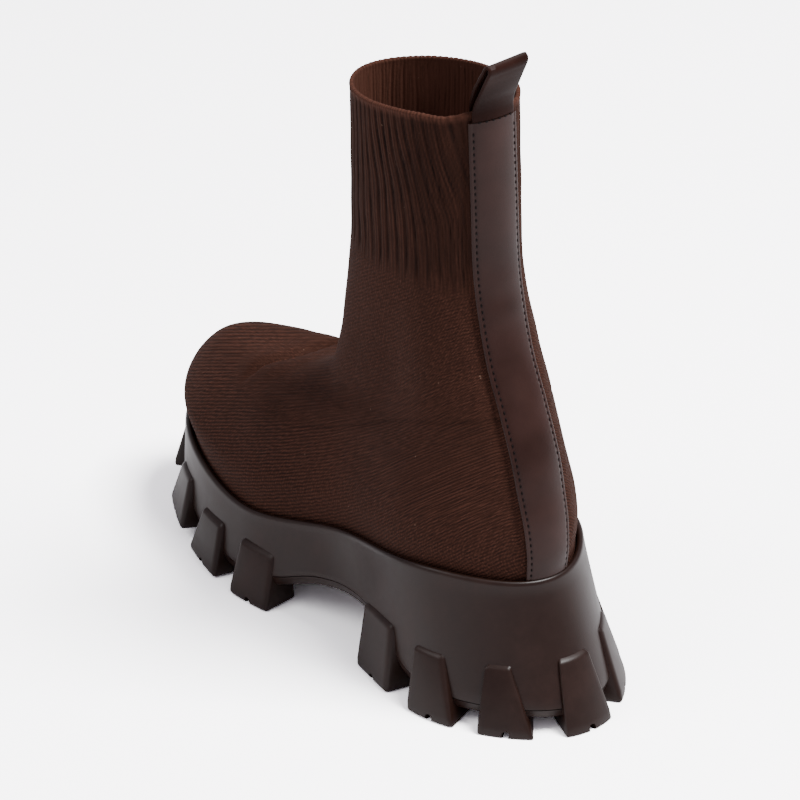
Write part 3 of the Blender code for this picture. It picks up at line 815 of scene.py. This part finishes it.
def knitted_polyester():
    """Matte ribbed and plain knit, dark brown, with a little sheen and stitch relief."""
    material, tree, shader = new_material(
        "knitted polyester", Roughness=0.9, Sheen_Weight=0.06, Sheen_Roughness=0.5,
        Sheen_Tint=linear("#8a5a4a"), Specular_IOR_Level=0.12, IOR=1.5)
    mark = {name: add_node(tree, "Attribute", {"attribute_name": name}).outputs["Fac"]
            for name in ("plain", "border", "rows", "valley", "edge", "inside")}
    wale, streaks = knit_place(tree, "shaft", (1.6, 0.35, 1.0))
    shaft = weighted(tree, 0.0, (rounded(tree, wale[0], 0.8), 0.40), (streaks, 0.65))
    (along, row), flecks = knit_place(tree, "foot", (1.0, 1.7, 1.0))
    ridge = maths(tree, "SUBTRACT", rounded(tree, row, ROW_SHARP), 1 / (1 + ROW_SHARP))
    lines = maths(tree, "MULTIPLY", ridge, weighted(tree, 0.10, (mark["rows"], 0.46)))
    dots = maths(tree, "MULTIPLY", rounded(tree, along, 0.8), rounded(tree, row, 0.8))
    foot = weighted(tree, lines, (dots, 0.35), (flecks, 1.15))
    foot = maths(tree, "SUBTRACT", foot, 0.09)
    knit = add_node(tree, "Mix", {"data_type": "FLOAT"}, in_0=mark["plain"],
                    in_2=shaft, in_3=foot).outputs[0]
    place = object_place(tree)
    cloud = noise(tree, place, 28.0, 3.0)
    grain = noise(tree, place, 900.0, 3.0, 0.7)
    # Tone: the valley mark darkens the ribs' valleys as painted shade, and the edge mark lightens
    # the collar's rolled edge as a painted highlight.
    tone = weighted(tree, -0.05, (knit, 0.66), (grain, 0.22), (cloud, 0.20),
                    (mark["valley"], -0.50), (mark["border"], -0.10), (mark["edge"], 0.22),
                    (mark["inside"], 0.50))
    base = ramp(tree, tone, ((0.10, "#110706"), (0.50, "#2d1810"), (0.90, "#4b2d23")))
    fleck = add_node(tree, "TexVoronoi", Vector=place, Scale=330.0, Randomness=1.0)
    near = maths(tree, "LESS_THAN", fleck.outputs["Distance"], 0.13)
    chosen = maths(tree, "GREATER_THAN", noise(tree, place, 190.0), 0.66)
    pale = maths(tree, "MULTIPLY", maths(tree, "MULTIPLY", near, chosen), 0.35)
    colour = add_node(tree, "Mix", {"data_type": "RGBA"}, in_0=pale, in_6=base,
                      in_7=linear("#7d6456")).outputs[2]
    feed(tree, shader, Base_Color=colour)
    add_bump(tree, shader, weighted(tree, knit, (grain, 0.4)), 0.8, 0.4 * MM)
    return material


knit_material = knitted_polyester()
upper.data.materials.append(knit_material)
print("made", knit_material.name)

# %% [markdown]
# ## The moulded sole: its body
# The sole is one casting. Its skin starts on the middle line of the underside, goes out to
# the edge, up the wall, round the lip and down into the cup, and ends on the middle line of
# the footbed. Each ring follows the outline at a depth and height of its own, and the edges
# are rounded by extra rings on small arcs, as a mould rounds them.

# %% Build the sole's body
SOLE_COLUMNS = 288
LUG_PROUD = 6.0 * MM
UNDER_ROUND = 0.9 * MM
# Section of the groove over the band, in mm: how far in, and how far under the wall
BAND_GROOVE = ((0.30, 0.55), (0.95, 0.42), (0.95, 0.22), (0.10, 0.02))


def wall_point(theta, up):
    """Sole's wall between the lugs: up is 0 at its lower edge and 1 under the lip."""
    low_plan = inset(theta, 1.0, LUG_PROUD)
    low_height = web_height(low_plan[..., 1]) + BAND_HEIGHT
    rim_plan = footprint(theta, 0.0)
    top = rim_height(theta) - LIP_ROUND
    spread = ((1 - up) ** WALL_CURVE)[..., None]
    plan = rim_plan + (low_plan - rim_plan) * spread
    return join_height(plan, low_height + (top - low_height) * up)


def close_with(plan, height_at, shares, shrink=0.8):
    """Rings that close a plan curve onto its middle line, at shares of the way out."""
    opposite = np.roll(plan[::-1], 1, axis=0)
    middle = (plan + opposite) / 2
    centre = (plan[0] + plan[len(plan) // 2]) / 2
    middle = centre + (middle - centre) * shrink
    rings = [middle + (plan - middle) * share for share in shares]
    return [join_height(ring, height_at(ring[:, 1])) for ring in rings]


def round_corner(before, corner, after, radius, steps=4):
    """Rings on a curve that cuts a corner: a parabola between points near it."""
    start = corner + unit(before - corner) * radius
    end = corner + unit(after - corner) * radius
    t = np.linspace(0, 1, steps)[:, None, None]
    return list((1 - t) ** 2 * start + 2 * t * (1 - t) * corner + t * t * end)


def body_rings():
    """The body's rings, from the underside over the band and the wall to the cup."""
    theta = np.arange(SOLE_COLUMNS) * 2 * np.pi / SOLE_COLUMNS
    rim = rim_height(theta)
    under_plan = inset(theta, 1.0, LUG_PROUD + BAND_STEP)
    under = join_height(under_plan, web_height(under_plan[:, 1]))
    inside = close_with(under_plan, web_height, (0.0, 0.3, 0.6, 0.85))
    band = []
    for depth, drop in BAND_GROOVE:
        plan = inset(theta, 1.0, LUG_PROUD + depth * MM)
        band.append(join_height(plan, web_height(plan[:, 1]) + BAND_HEIGHT - drop * MM))
    wall = [wall_point(theta, np.full(SOLE_COLUMNS, up)) for up in np.linspace(0.01, 1, 12)]
    rings = inside
    rings += round_corner(inside[-1], under, band[0], UNDER_ROUND)
    rings += band + wall[:-1]
    arc = np.linspace(0, np.pi / 2, 7)
    for turn_by in arc:
        depth = LIP_ROUND * 0.62 * (1 - np.cos(turn_by))
        rings.append(join_height(inset(theta, 0.0, depth), rim - LIP_ROUND * (1 - np.sin(turn_by))))
    for turn_by in arc[1:]:
        depth = LIP_WIDTH - LIP_ROUND * 0.55 * (1 - np.sin(turn_by))
        drop = LIP_ROUND * 0.75 * (1 - np.cos(turn_by))
        rings.append(join_height(inset(theta, 0.0, depth), rim - drop))
    cup = inset(theta, 0.0, LIP_WIDTH)
    rings.append(join_height(cup, footbed_height(cup[:, 1])))
    rings += close_with(cup, footbed_height, (0.85, 0.6, 0.3, 0.0))
    return np.stack(rings)


print("rings and columns of the body:", body_rings().shape[:2])

# %% [markdown]
# ## The lugs
# Fifteen wedge lugs stand round the edge. Each is narrow where it leaves the wall and wide
# on the floor, with a small ledge on top. A lug is a six-sided section carried along the
# outline, so it bends with the heel. A bevel takes off its sharp edges, and a lying
# cylinder cuts the notch in its foot. Plain pads fill the middle of the tread.

# %% Build the lugs and pads
LUG_LEDGE = 1.6 * MM
LUG_REACH = 18.0 * MM
LUG_FOOT = 24.0 * MM
LUG_HEAD = 20.0 * MM
LUG_BULGE = 0.5 * MM
LUG_EDGE = 1.7 * MM
NOTCH_ROUND = 1.6 * MM
NOTCH_RISE = 1.2 * MM
NOTCH_DEPTH = 9.0 * MM
PAD_LENGTH = 15.0 * MM
PAD_WIDTH = 34.0 * MM
PAD_EDGE = 1.2 * MM
SOLE_SHARP = 40.0
TREAD_SINK = 2.0 * MM
LUGS = (
    # place  foot   head  rise
    (0.030, 0.90, 0.80, 0.42),
    (0.100, 1.04, 0.95, 0.43),
    (0.157, 1.05, 0.96, 0.44),
    (0.213, 1.00, 1.12, 0.45),
    (0.337, 1.08, 1.18, 0.20),
    (0.397, 1.00, 0.80, 0.32),
    (0.449, 0.98, 0.55, 0.33),
    (0.506, 1.04, 0.88, 0.37),
    (0.561, 1.00, 0.88, 0.37),
    (0.613, 1.00, 0.80, 0.33),
    (0.667, 1.08, 1.18, 0.20),
    (0.796, 1.00, 1.12, 0.45),
    (0.845, 1.05, 0.96, 0.44),
    (0.903, 1.04, 0.95, 0.43),
    (0.970, 0.90, 0.80, 0.42),
)
PADS = ((0.000, 1.00), (-0.120, 1.00), (-0.435, 1.20), (-0.560, 1.20), (-0.685, 0.90))
LUG_COLUMNS = np.linspace(-1, 1, 9)

outline_run = run_along(footprint(FULL_TURN, 1.0))
OUTLINE_LENGTH = outline_run[-1]
outline_share = outline_run / OUTLINE_LENGTH


def lug_sections(place, foot_width, head_width, rise):
    """Sections (columns, 6, 3) of a lug: foot, bulge, head, ledge, inner head and foot."""
    def theta_at(width):
        along = (place + LUG_COLUMNS * width / 2 / OUTLINE_LENGTH) % 1.0
        return np.interp(along, outline_share, FULL_TURN)

    middle = np.interp([place], outline_share, FULL_TURN)
    low = wall_point(middle, np.zeros(1))[0, 2]
    head_z = low + (rim_height(middle)[0] - LIP_ROUND - low) * rise
    foot, head = theta_at(foot_width), theta_at(head_width)
    outer_foot = footprint(foot, 1.0)
    inner_foot = inset(foot, 1.0, LUG_REACH)
    inner_head = inset(head, 1.0, LUG_REACH)
    wall = wall_point(head, np.full(len(head), rise))[:, :2]
    outward = unit(wall - inner_head)
    floor = join_height(outer_foot, toe_rise(outer_foot[:, 1]))
    face_head = join_height(wall + outward * LUG_LEDGE, head_z)
    bulge = floor + (face_head - floor) * 0.15 + join_height(outward * LUG_BULGE, 0.0)
    return np.stack([
        floor,
        bulge,
        face_head,
        join_height(wall - outward * LUG_LEDGE, head_z + LUG_LEDGE),
        join_height(inner_head, low + TREAD_SINK),
        join_height(inner_foot, toe_rise(inner_foot[:, 1])),
    ], 1)


def bevel(item, width, segments=3, angle=28.0):
    """Round an object's sharp edges and keep the result as its mesh."""
    tool = item.modifiers.new("rounded edges", "BEVEL")
    tool.width = width
    tool.segments = segments
    tool.limit_method = "ANGLE"
    tool.angle_limit = np.radians(angle)
    return apply_modifiers(item)


def cut_notch(item, centre, way):
    """Cut a half-round notch into a lug's foot with a lying cylinder."""
    data = bpy.data.meshes.new("notch")
    with editing(data) as mesh:
        bmesh.ops.create_cone(mesh, cap_ends=True, segments=20, radius1=NOTCH_ROUND,
                              radius2=NOTCH_ROUND, depth=2 * NOTCH_DEPTH)
    data.transform(Vector(way).to_track_quat("Z", "Y").to_matrix().to_4x4())
    data.transform(Matrix.Translation(Vector(centre)))
    cutter = link_object("notch", data)
    cut = item.modifiers.new("notch", "BOOLEAN")
    cut.operation = "DIFFERENCE"
    cut.object = cutter
    cut.solver = "EXACT"
    bpy.context.view_layer.update()
    apply_modifiers(item)
    bpy.data.objects.remove(cutter)
    return item


def build_lug(number, place, foot, head, rise):
    """One lug as a closed mesh with capped ends, rounded edges and a notched foot."""
    sections = lug_sections(place, foot, head, rise)
    item = mesh_from_grid(f"lug_{number:02d}", sections)
    item = bevel(close_ends(item, *sections.shape[:2]), LUG_EDGE)
    middle = sections[len(sections) // 2]
    return cut_notch(item, middle[0] + (0, 0, NOTCH_RISE), middle[5] - middle[0])


def build_pad(number, place, width):
    """One middle pad: a box with rounded edges, sunk into the underside."""
    y = place * (RIM_LENGTH + TOE_FLARE + HEEL_FLARE)
    low = toe_rise(y - PAD_LENGTH / 2)
    ends = np.array([y - PAD_LENGTH / 2, y + PAD_LENGTH / 2])
    high = web_height(ends).max() + TREAD_SINK
    data = bpy.data.meshes.new(f"pad_{number}")
    with editing(data) as mesh:
        bmesh.ops.create_cube(mesh, size=1.0)
        bmesh.ops.scale(mesh, vec=(width, PAD_LENGTH, high - low), verts=mesh.verts)
        bmesh.ops.translate(mesh, vec=(0, y, (high + low) / 2), verts=mesh.verts)
    return bevel(link_object(data.name, data), PAD_EDGE)


def build_sole():
    """Body, lugs and pads in one object."""
    body = tidy_mesh(mesh_from_grid("lug_sole", body_rings()))
    pieces = []
    for number, (place, foot, head, rise) in enumerate(LUGS):
        pieces.append(build_lug(number, place, LUG_FOOT * foot, LUG_HEAD * head, rise))
    pieces += [build_pad(i, place, PAD_WIDTH * width) for i, (place, width) in enumerate(PADS)]
    with editing(body.data) as mesh:
        for piece in pieces:
            mesh.from_mesh(piece.data)
            bpy.data.objects.remove(piece)
    return shade(body, SOLE_SHARP)


sole = build_sole()
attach(sole, "root")
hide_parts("sole")
print("sole faces:", len(sole.data.polygons))

# %% [markdown]
# ## Moulded thermoplastic rubber
# The sole comes out of a polished mould, so its wall is smooth with a soft gloss, a little
# uneven where the rubber shrank. Handling leaves fine dusty scuffs that are duller and
# paler. Rubber of this kind has an index of refraction of about 1.5.

# %% Material of the sole
def moulded_rubber():
    """Dark brown semi-matte rubber with faint flow marks and scuffs."""
    material, tree, shader = new_material(
        "moulded thermoplastic rubber", Roughness=0.4, IOR=1.5, Specular_IOR_Level=0.27)
    place = object_place(tree)
    cloud = noise(tree, place, 22.0, 4.0)
    dust = noise(tree, place, 160.0, 5.0, 0.65)
    fine = noise(tree, place, 1500.0)
    tone = weighted(tree, 0.0, (cloud, 0.65), (dust, 0.35))
    colour = ramp(tree, tone, ((0.30, "#1b0d09"), (0.55, "#22130e"), (0.78, "#2d1b16")))
    feed(tree, shader, Base_Color=colour, Roughness=weighted(tree, 0.22, (tone, 0.30)))
    add_bump(tree, shader, weighted(tree, cloud, (fine, 0.25)), 0.25, 0.3 * MM)
    return material


rubber_material = moulded_rubber()
sole.data.materials.append(rubber_material)
print("made", rubber_material.name)

# %% [markdown]
# ## A strap as a profile carried along a surface
# The strip and the loop are cut from the same leather: a band with rounded edges. Such a
# band is a closed profile, wide and thin, carried along a centre surface. At each place the
# profile's own axes are the surface's side direction and its normal.

# %% Band helper
EDGE_STEPS = 5
BAND_SHARP = 50.0


def band_profile(width, thick, columns_across, groove=0.0, groove_at=0.0, crown=0.0):
    """Closed profile: across share (-1 to 1) and height over the back face."""
    edge = thick / 2
    inner = 1 - edge / (width / 2)
    across = np.linspace(-inner, inner, columns_across)
    top = thick + crown * (1 - across ** 2)
    from_edge = (1 - np.abs(across)) * width / 2
    top = top - groove * hump(from_edge - groove_at, 0.45 * MM)
    turn_by = np.linspace(0, np.pi, EDGE_STEPS + 2)[1:-1]
    round_x = np.sin(turn_by) * edge / (width / 2)
    right = np.stack([inner + round_x, edge + edge * np.cos(turn_by)], -1)
    left = np.stack([-inner - round_x[::-1], edge + edge * np.cos(turn_by[::-1])], -1)
    upper_face = np.stack([across, top], -1)
    lower_face = np.stack([across[::-1], np.zeros(columns_across)], -1)
    return np.concatenate([upper_face, right, lower_face, left])


print("points round a band's profile:", len(band_profile(22 * MM, 1.3 * MM, 21)))

# %% [markdown]
# ## The strip up the back seam
# The knit's back seam is covered by a leather strip, folded under at its edges and sewn
# down along both sides. The stitches pull a shallow groove 1.8 mm in from each edge. The
# strip lies on the upper, so it is a patch of the upper's own surface, raised by the gap.

# %% Build the strip
STRIP_FOOT_WIDTH = 19.0 * MM
STRIP_THICK = 1.3 * MM
STRIP_TOP = 4.0 * MM
STITCH_IN = 1.8 * MM
STITCH_PITCH = 2.75 * MM
STRIP_ROWS = 150
STRIP_START = 0.053


def level_below_collar(drop):
    """Place u on the back seam that lies a distance down from the collar."""
    u = np.linspace(0.5, 1.0, 201)
    run = run_along(upper_point(u, np.full_like(u, np.pi)))
    return np.interp(-drop, run - run[-1], u)


def patch_half_angle(u, width):
    """Angle each side of the seam that takes half the width of a patch."""
    spread = 0.02
    seam = np.full_like(u, np.pi)
    chord = upper_point(u, seam + spread) - upper_point(u, seam - spread)
    return width / 2 / (np.linalg.norm(chord, axis=-1) / (2 * spread))


def strip_width(u):
    """Width of the strip, a little narrower at its foot."""
    narrow = np.clip(1 - (u - STRIP_START) / 0.25, 0, 1)
    return STRIP_WIDTH + (STRIP_FOOT_WIDTH - STRIP_WIDTH) * narrow


def strip_point(u, across, height):
    """Point over the upper: across is -1 to 1 over the width, height is off the knit."""
    angle = np.pi - across * patch_half_angle(u, strip_width(u))
    return upper_point(u, angle) + upper_normal(u, angle) * (GAP + height)[..., None]


def strip_ripples(points, across):
    """Faint wrinkles where the leather bends in at the ankle, strongest mid-strip."""
    z = points[..., 2] / MM
    ripple = np.sin(z / 3.1 + 1.5 * np.sin(z / 9.0)) * hump(z - 158, 26)
    return (0.10 * ripple + 0.22 * wave(points, 46 * MM, 21)) * MM * (1 - across ** 2)


def build_strip():
    """The sewn leather strip, with stitch grooves and faint wrinkles."""
    levels = np.linspace(STRIP_START, level_below_collar(STRIP_TOP), STRIP_ROWS)
    profile = band_profile(STRIP_WIDTH, STRIP_THICK, 41, 0.34 * MM, STITCH_IN, 0.45 * MM)
    u = np.repeat(levels[:, None], len(profile), 1)
    across = np.repeat(profile[None, :, 0], STRIP_ROWS, 0)
    height = np.repeat(profile[None, :, 1], STRIP_ROWS, 0)
    flat = strip_point(u, across, np.zeros_like(u))
    height = height + strip_ripples(flat, across) * (height > STRIP_THICK * 0.9)
    points = strip_point(u, across, height)
    points[0, :, 2] = rim_height(np.pi) + GAP
    item = mesh_from_grid("back_strip", points)
    return shade(close_ends(item, STRIP_ROWS, len(profile)), BAND_SHARP)


strip = build_strip()
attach(strip, "root")
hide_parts("backstay")
seam_u = np.linspace(STRIP_START, level_below_collar(STRIP_TOP), STRIP_ROWS)
seam = run_along(upper_point(seam_u, np.full_like(seam_u, np.pi)))
print("strip faces:", len(strip.data.polygons), " length in mm:", round(seam[-1] / MM, 1))

# %% [markdown]
# ## The pull loop
# A ribbon of the same leather is folded over: one leaf is sewn under the strip's top and
# rises over the collar, leans back, folds, and comes down inside the shaft. Seen from the
# side it is a teardrop that a finger fits through.

# %% Build the loop
LOOP_WIDTH = 19.0 * MM
LOOP_THICK = 1.3 * MM
LOOP_HEIGHT = 22.5 * MM
LOOP_LEAN = 8.5 * MM
LOOP_TAIL = 18.0 * MM
LOOP_TILT = 1.8 * MM
LOOP_ROWS = 90
LOOP_SIDE = (
    # out    up     wrap
    (0.22, 0.20, 0.80), (0.46, 0.42, 0.60), (0.70, 0.64, 0.38), (0.93, 0.84, 0.18),
    (1.03, 0.94, 0.08), (1.00, 1.00, 0.04), (0.88, 0.98, 0.04), (0.66, 0.84, 0.10),
    (0.33, 0.62, 0.25), (0.02, 0.36, 0.50),
)


def loop_rows(across):
    """Rows of the ribbon's inner face, over the fold from the outer foot to the inner."""
    foot_u = level_below_collar(STRIP_TOP - GAP)
    half = patch_half_angle(np.array([foot_u]), LOOP_WIDTH)[0]
    theta = np.pi + half * across
    ones = np.ones(len(across))
    collar_line = upper_point(ones, theta)
    top = upper_point(np.ones(1), np.full(1, np.pi))[0]
    outward = upper_normal(ones, theta)
    rows = []
    for u in (foot_u, (foot_u + 1) / 2, 1.0):
        rows.append(upper_point(ones * u, theta) + upper_normal(ones * u, theta) * GAP)
    for out, up, wrap in LOOP_SIDE:
        point = top + (collar_line - top) * wrap - outward * KNIT_WALL / 2 * wrap
        point[:, 1] += out * LOOP_LEAN
        point[:, 2] += up * LOOP_HEIGHT + across * LOOP_TILT * up / 2
        point[:, 0] = collar_line[:, 0]
        rows.append(point)
    for drop in (0.0, 0.5, 1.0):
        u = level_below_collar(LOOP_TAIL * drop) if drop else 1.0
        shift = upper_normal(ones * u, theta) * (KNIT_WALL + GAP + 0.5 * MM)
        rows.append(upper_point(ones * u, theta) - shift)
    return np.stack(rows)


def build_loop():
    """The folded ribbon: a band profile carried over the rows above."""
    profile = band_profile(LOOP_WIDTH, LOOP_THICK, 25)
    rows = loop_rows(np.linspace(-1, 1, 25))
    run = run_along(rows[:, 12])
    face = smooth(np.linspace(0, 1, LOOP_ROWS), run / run[-1], rows)
    normals = grid_normals(face, round_columns=False)
    index = (profile[:, 0] + 1) / 2 * 24
    left = np.clip(index.astype(int), 0, 23)
    part = (index - left)[None, :, None]
    base = face[:, left] * (1 - part) + face[:, left + 1] * part
    away = unit(normals[:, left] * (1 - part) + normals[:, left + 1] * part)
    points = base + away * profile[None, :, 1, None]
    item = mesh_from_grid("loop_ribbon", points)
    return shade(close_ends(item, LOOP_ROWS, len(profile)), BAND_SHARP)


loop = build_loop()
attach(loop, "root")
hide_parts("pull_loop")
ribbon = run_along(loop_rows(np.zeros(1))[:, 0])
print("loop faces:", len(loop.data.polygons), " length in mm:", round(ribbon[-1] / MM, 1))

# %% [markdown]
# ## Coated leather
# The strip is split leather with a polyurethane skin. The skin gives a satin gloss with a
# broad, soft highlight and a very fine pebble grain, less than half a millimetre across.
# The loop takes a copy of the same leather with less gloss and a darker colour; the darker colour
# is painted shade.

# %% Material of the strip and the loop
def coated_leather(name, specular, stops):
    """Dark brown coated leather with fine grain and a soft, uneven gloss."""
    material, tree, shader = new_material(
        name, Roughness=0.34, IOR=1.5, Specular_IOR_Level=specular)
    place = object_place(tree)
    cloud = noise(tree, place, 45.0, 3.0)
    grain = add_node(tree, "TexVoronoi", {"feature": "DISTANCE_TO_EDGE"},
                     Vector=place, Scale=2200.0)
    feed(tree, shader, Base_Color=ramp(tree, cloud, stops),
         Roughness=weighted(tree, 0.30, (cloud, 0.16)))
    add_bump(tree, shader, weighted(tree, cloud, (grain.outputs["Distance"], 0.6)), 0.3, 0.2 * MM)
    return material


strip_material = coated_leather("PU coated leather", 0.18, (
    (0.30, "#261511"), (0.55, "#2e1b17"), (0.80, "#38231f")))
# The loop's copy of the leather: lower specular, and darker colours that are painted shade.
shaded_loop_material = coated_leather("PU coated leather, loop, painted shade", 0.04, (
    (0.30, "#1f110e"), (0.55, "#271612"), (0.80, "#2f1c18")))
strip.data.materials.append(strip_material)
loop.data.materials.append(shaded_loop_material)
print("made", strip_material.name, "and", shaded_loop_material.name)

# %% [markdown]
# ## Stitches
# A lockstitch row runs down each side of the strip, and a short one crosses its top. Each
# stitch is a small sunk bead of dark thread, an ellipsoid of a few faces. They are copied
# as arrays into one mesh.

# %% Build the stitches
STITCH_LENGTH = 1.5 * MM
STITCH_THICK = 0.85 * MM


def bead(rings=5, sides=6):
    """Unit bead: rows of circles along X whose radius is the root of one minus x squared."""
    x = np.cos(np.linspace(np.pi, 0, rings))
    radius = np.sqrt(np.clip(1 - x ** 2, 0.0, None))
    turn_by = np.arange(sides) * 2 * np.pi / sides
    return np.stack([
        np.repeat(x[:, None], sides, 1),
        radius[:, None] * np.cos(turn_by),
        radius[:, None] * np.sin(turn_by),
    ], -1)


def place_beads(name, centres, along, normal):
    """One mesh of beads, each laid along its own direction on the surface."""
    shape = bead()
    rings, sides = shape.shape[:2]
    side = np.cross(normal, along)
    axes = np.stack([along * STITCH_LENGTH / 2, side * STITCH_THICK / 2,
                     normal * STITCH_THICK / 2], 1)
    points = np.einsum("rsk,nkc->nrsc", shape, axes) + centres[:, None, None]
    faces, _ = quad_indices(rings, sides)
    every = (faces[None] + (np.arange(len(centres)) * rings * sides)[:, None, None])
    mesh = bpy.data.meshes.new(name)
    mesh.from_pydata(points.reshape(-1, 3).tolist(), [], every.reshape(-1, 4).tolist())
    return tidy_mesh(link_object(name, mesh))


def strip_stitches():
    """Both side rows and the top row of the strip."""
    top_u = level_below_collar(STRIP_TOP + STITCH_IN)
    fine_u = np.linspace(STRIP_START + 0.01, top_u, 400)
    run = run_along(upper_point(fine_u, np.full_like(fine_u, np.pi)))
    count = int(run[-1] / STITCH_PITCH)
    levels = np.interp(np.arange(count) * STITCH_PITCH, run, fine_u)
    sunk = STRIP_THICK - 0.10 * MM
    found = []

    def add_row(level, across, lift, ahead):
        """Stitches at places on the strip, each laid toward a place a little ahead."""
        height = np.full_like(level, sunk + lift)
        here = strip_point(level, across, height)
        angle = np.pi - across * patch_half_angle(level, strip_width(level))
        there = strip_point(level + ahead[0], across + ahead[1], height)
        found.append((here, unit(there - here), upper_normal(level, angle)))

    for side in (-1, 1):
        add_row(levels, side * (1 - STITCH_IN / (strip_width(levels) / 2)), 0.0, (0.003, 0.0))
    across = np.arange(-2.5, 3.0) * STITCH_PITCH / (STRIP_WIDTH / 2)
    add_row(np.full_like(across, top_u + 0.006), across, 0.25 * MM, (0.0, 0.02))
    centres, along, normals = (np.concatenate(rows) for rows in zip(*found))
    along = unit(along - normals * np.sum(along * normals, axis=1, keepdims=True))
    return place_beads("strip_stitches", centres, along, normals)


thread = strip_stitches()
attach(thread, "root")
print("stitch faces:", len(thread.data.polygons))

# %% [markdown]
# ## Thread and insole cloth
# The thread is a dark bonded polyester, a little shiny. The insole is covered in plain
# cloth, which only shows deep inside the shaft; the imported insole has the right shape, so
# it keeps its own mesh and takes the cloth material.

# %% Materials of the thread and the insole
def bonded_thread():
    """Dark twisted thread: fine slanting lines in a slightly glossy yarn."""
    material, tree, shader = new_material(
        "bonded polyester thread", Roughness=0.6, IOR=1.5, Specular_IOR_Level=0.1)
    place = object_place(tree)
    twist = add_node(tree, "TexWave", {"bands_direction": "DIAGONAL"},
                     Vector=place, Scale=900.0)
    colour = ramp(tree, twist.outputs["Fac"], ((0.0, "#060303"), (1.0, "#140a09")))
    feed(tree, shader, Base_Color=colour)
    return material


def woven_lining():
    """Plain woven cloth: two crossed sets of threads, half a millimetre apart."""
    material, tree, shader = new_material("woven insole cloth", Roughness=0.95, IOR=1.5,
                                          Sheen_Weight=0.2, Sheen_Roughness=0.5)
    place = object_place(tree)
    threads = [add_node(tree, "TexWave", {"bands_direction": way}, Vector=place,
                        Scale=320.0).outputs["Fac"] for way in ("X", "Y")]
    weave = maths(tree, "MAXIMUM", *threads)
    colour = ramp(tree, weave, ((0.2, "#150c09"), (0.9, "#261812")))
    feed(tree, shader, Base_Color=colour)
    add_bump(tree, shader, weave, 0.5, 0.2 * MM)
    return material


thread.data.materials.append(bonded_thread())
insole = frame["nodes"]["insole"]
cloth_material = woven_lining()
if insole.material_slots:
    for holder in insole.material_slots:
        holder.material = cloth_material
else:
    insole.data.materials.append(cloth_material)
print("insole material:", insole.material_slots[0].material.name)

# %% [markdown]
# ## Floor and studio light
# The product stands on a pale seamless floor under large soft lights: a strong one high on
# the right, a weaker one from the left, and a bright even surround. Large lights give the
# soft contact shadow and the broad highlights on rubber and leather. The view transform
# dims whites, so where the camera sees the floor itself its colour is multiplied by
# BACKDROP_GAIN; the light that it sends onto the boot isn't.

# %% Floor, lights and surround
FLOOR_SIZE = 8.0
BACKDROP_GAIN = 3.6


def studio_floor():
    """A large pale floor, matte, with a trace of unevenness in its tone."""
    mesh = bpy.data.meshes.new("studio_floor")
    half = FLOOR_SIZE / 2
    corners = [(-half, -half, 0), (half, -half, 0), (half, half, 0), (-half, half, 0)]
    mesh.from_pydata(corners, [], [(0, 1, 2, 3)])
    item = link_object("studio_floor", mesh)
    material, tree, shader = new_material("painted studio floor")
    tree.nodes.remove(shader)
    tone = noise(tree, object_place(tree), 3.0)
    colour = ramp(tree, tone, ((0.3, "#f5f4f5"), (0.7, "#f8f7f8")))
    seen = add_node(tree, "LightPath").outputs["Is Camera Ray"]
    gain = maths(tree, "MULTIPLY_ADD", seen, BACKDROP_GAIN - 1, 1.0)
    lit = add_node(tree, "VectorMath", {"operation": "SCALE"}, in_0=colour, Scale=gain)
    paint = add_node(tree, "BsdfDiffuse", Color=lit.outputs[0])
    tree.links.new(paint.outputs[0], tree.nodes["Material Output"].inputs["Surface"])
    mesh.materials.append(material)
    return item


def soft_light(name, azimuth, elevation, distance, size, power):
    """A square area light that looks at the boot from an angle round and above."""
    data = bpy.data.lights.new(name, "AREA")
    data.size = size
    data.energy = power
    item = link_object(name, data)
    a, e = np.radians([azimuth, elevation])
    way = np.array([np.sin(a) * np.cos(e), -np.cos(a) * np.cos(e), np.sin(e)])
    item.location = np.array([0.0, -0.08, 0.1]) + way * distance
    item.rotation_euler = Vector(way).to_track_quat("Z", "Y").to_euler()
    return item


studio_floor()
soft_light("overhead", azimuth=222, elevation=64, distance=2.0, size=0.8, power=78.0)
soft_light("side_left", azimuth=75, elevation=45, distance=2.4, size=1.3, power=18.0)
world = bpy.data.worlds.new("studio")
world.use_nodes = True
surround = world.node_tree.nodes["Background"].inputs
surround["Color"].default_value = linear("#f1ecf7")
surround["Strength"].default_value = 0.44
bpy.context.scene.world = world
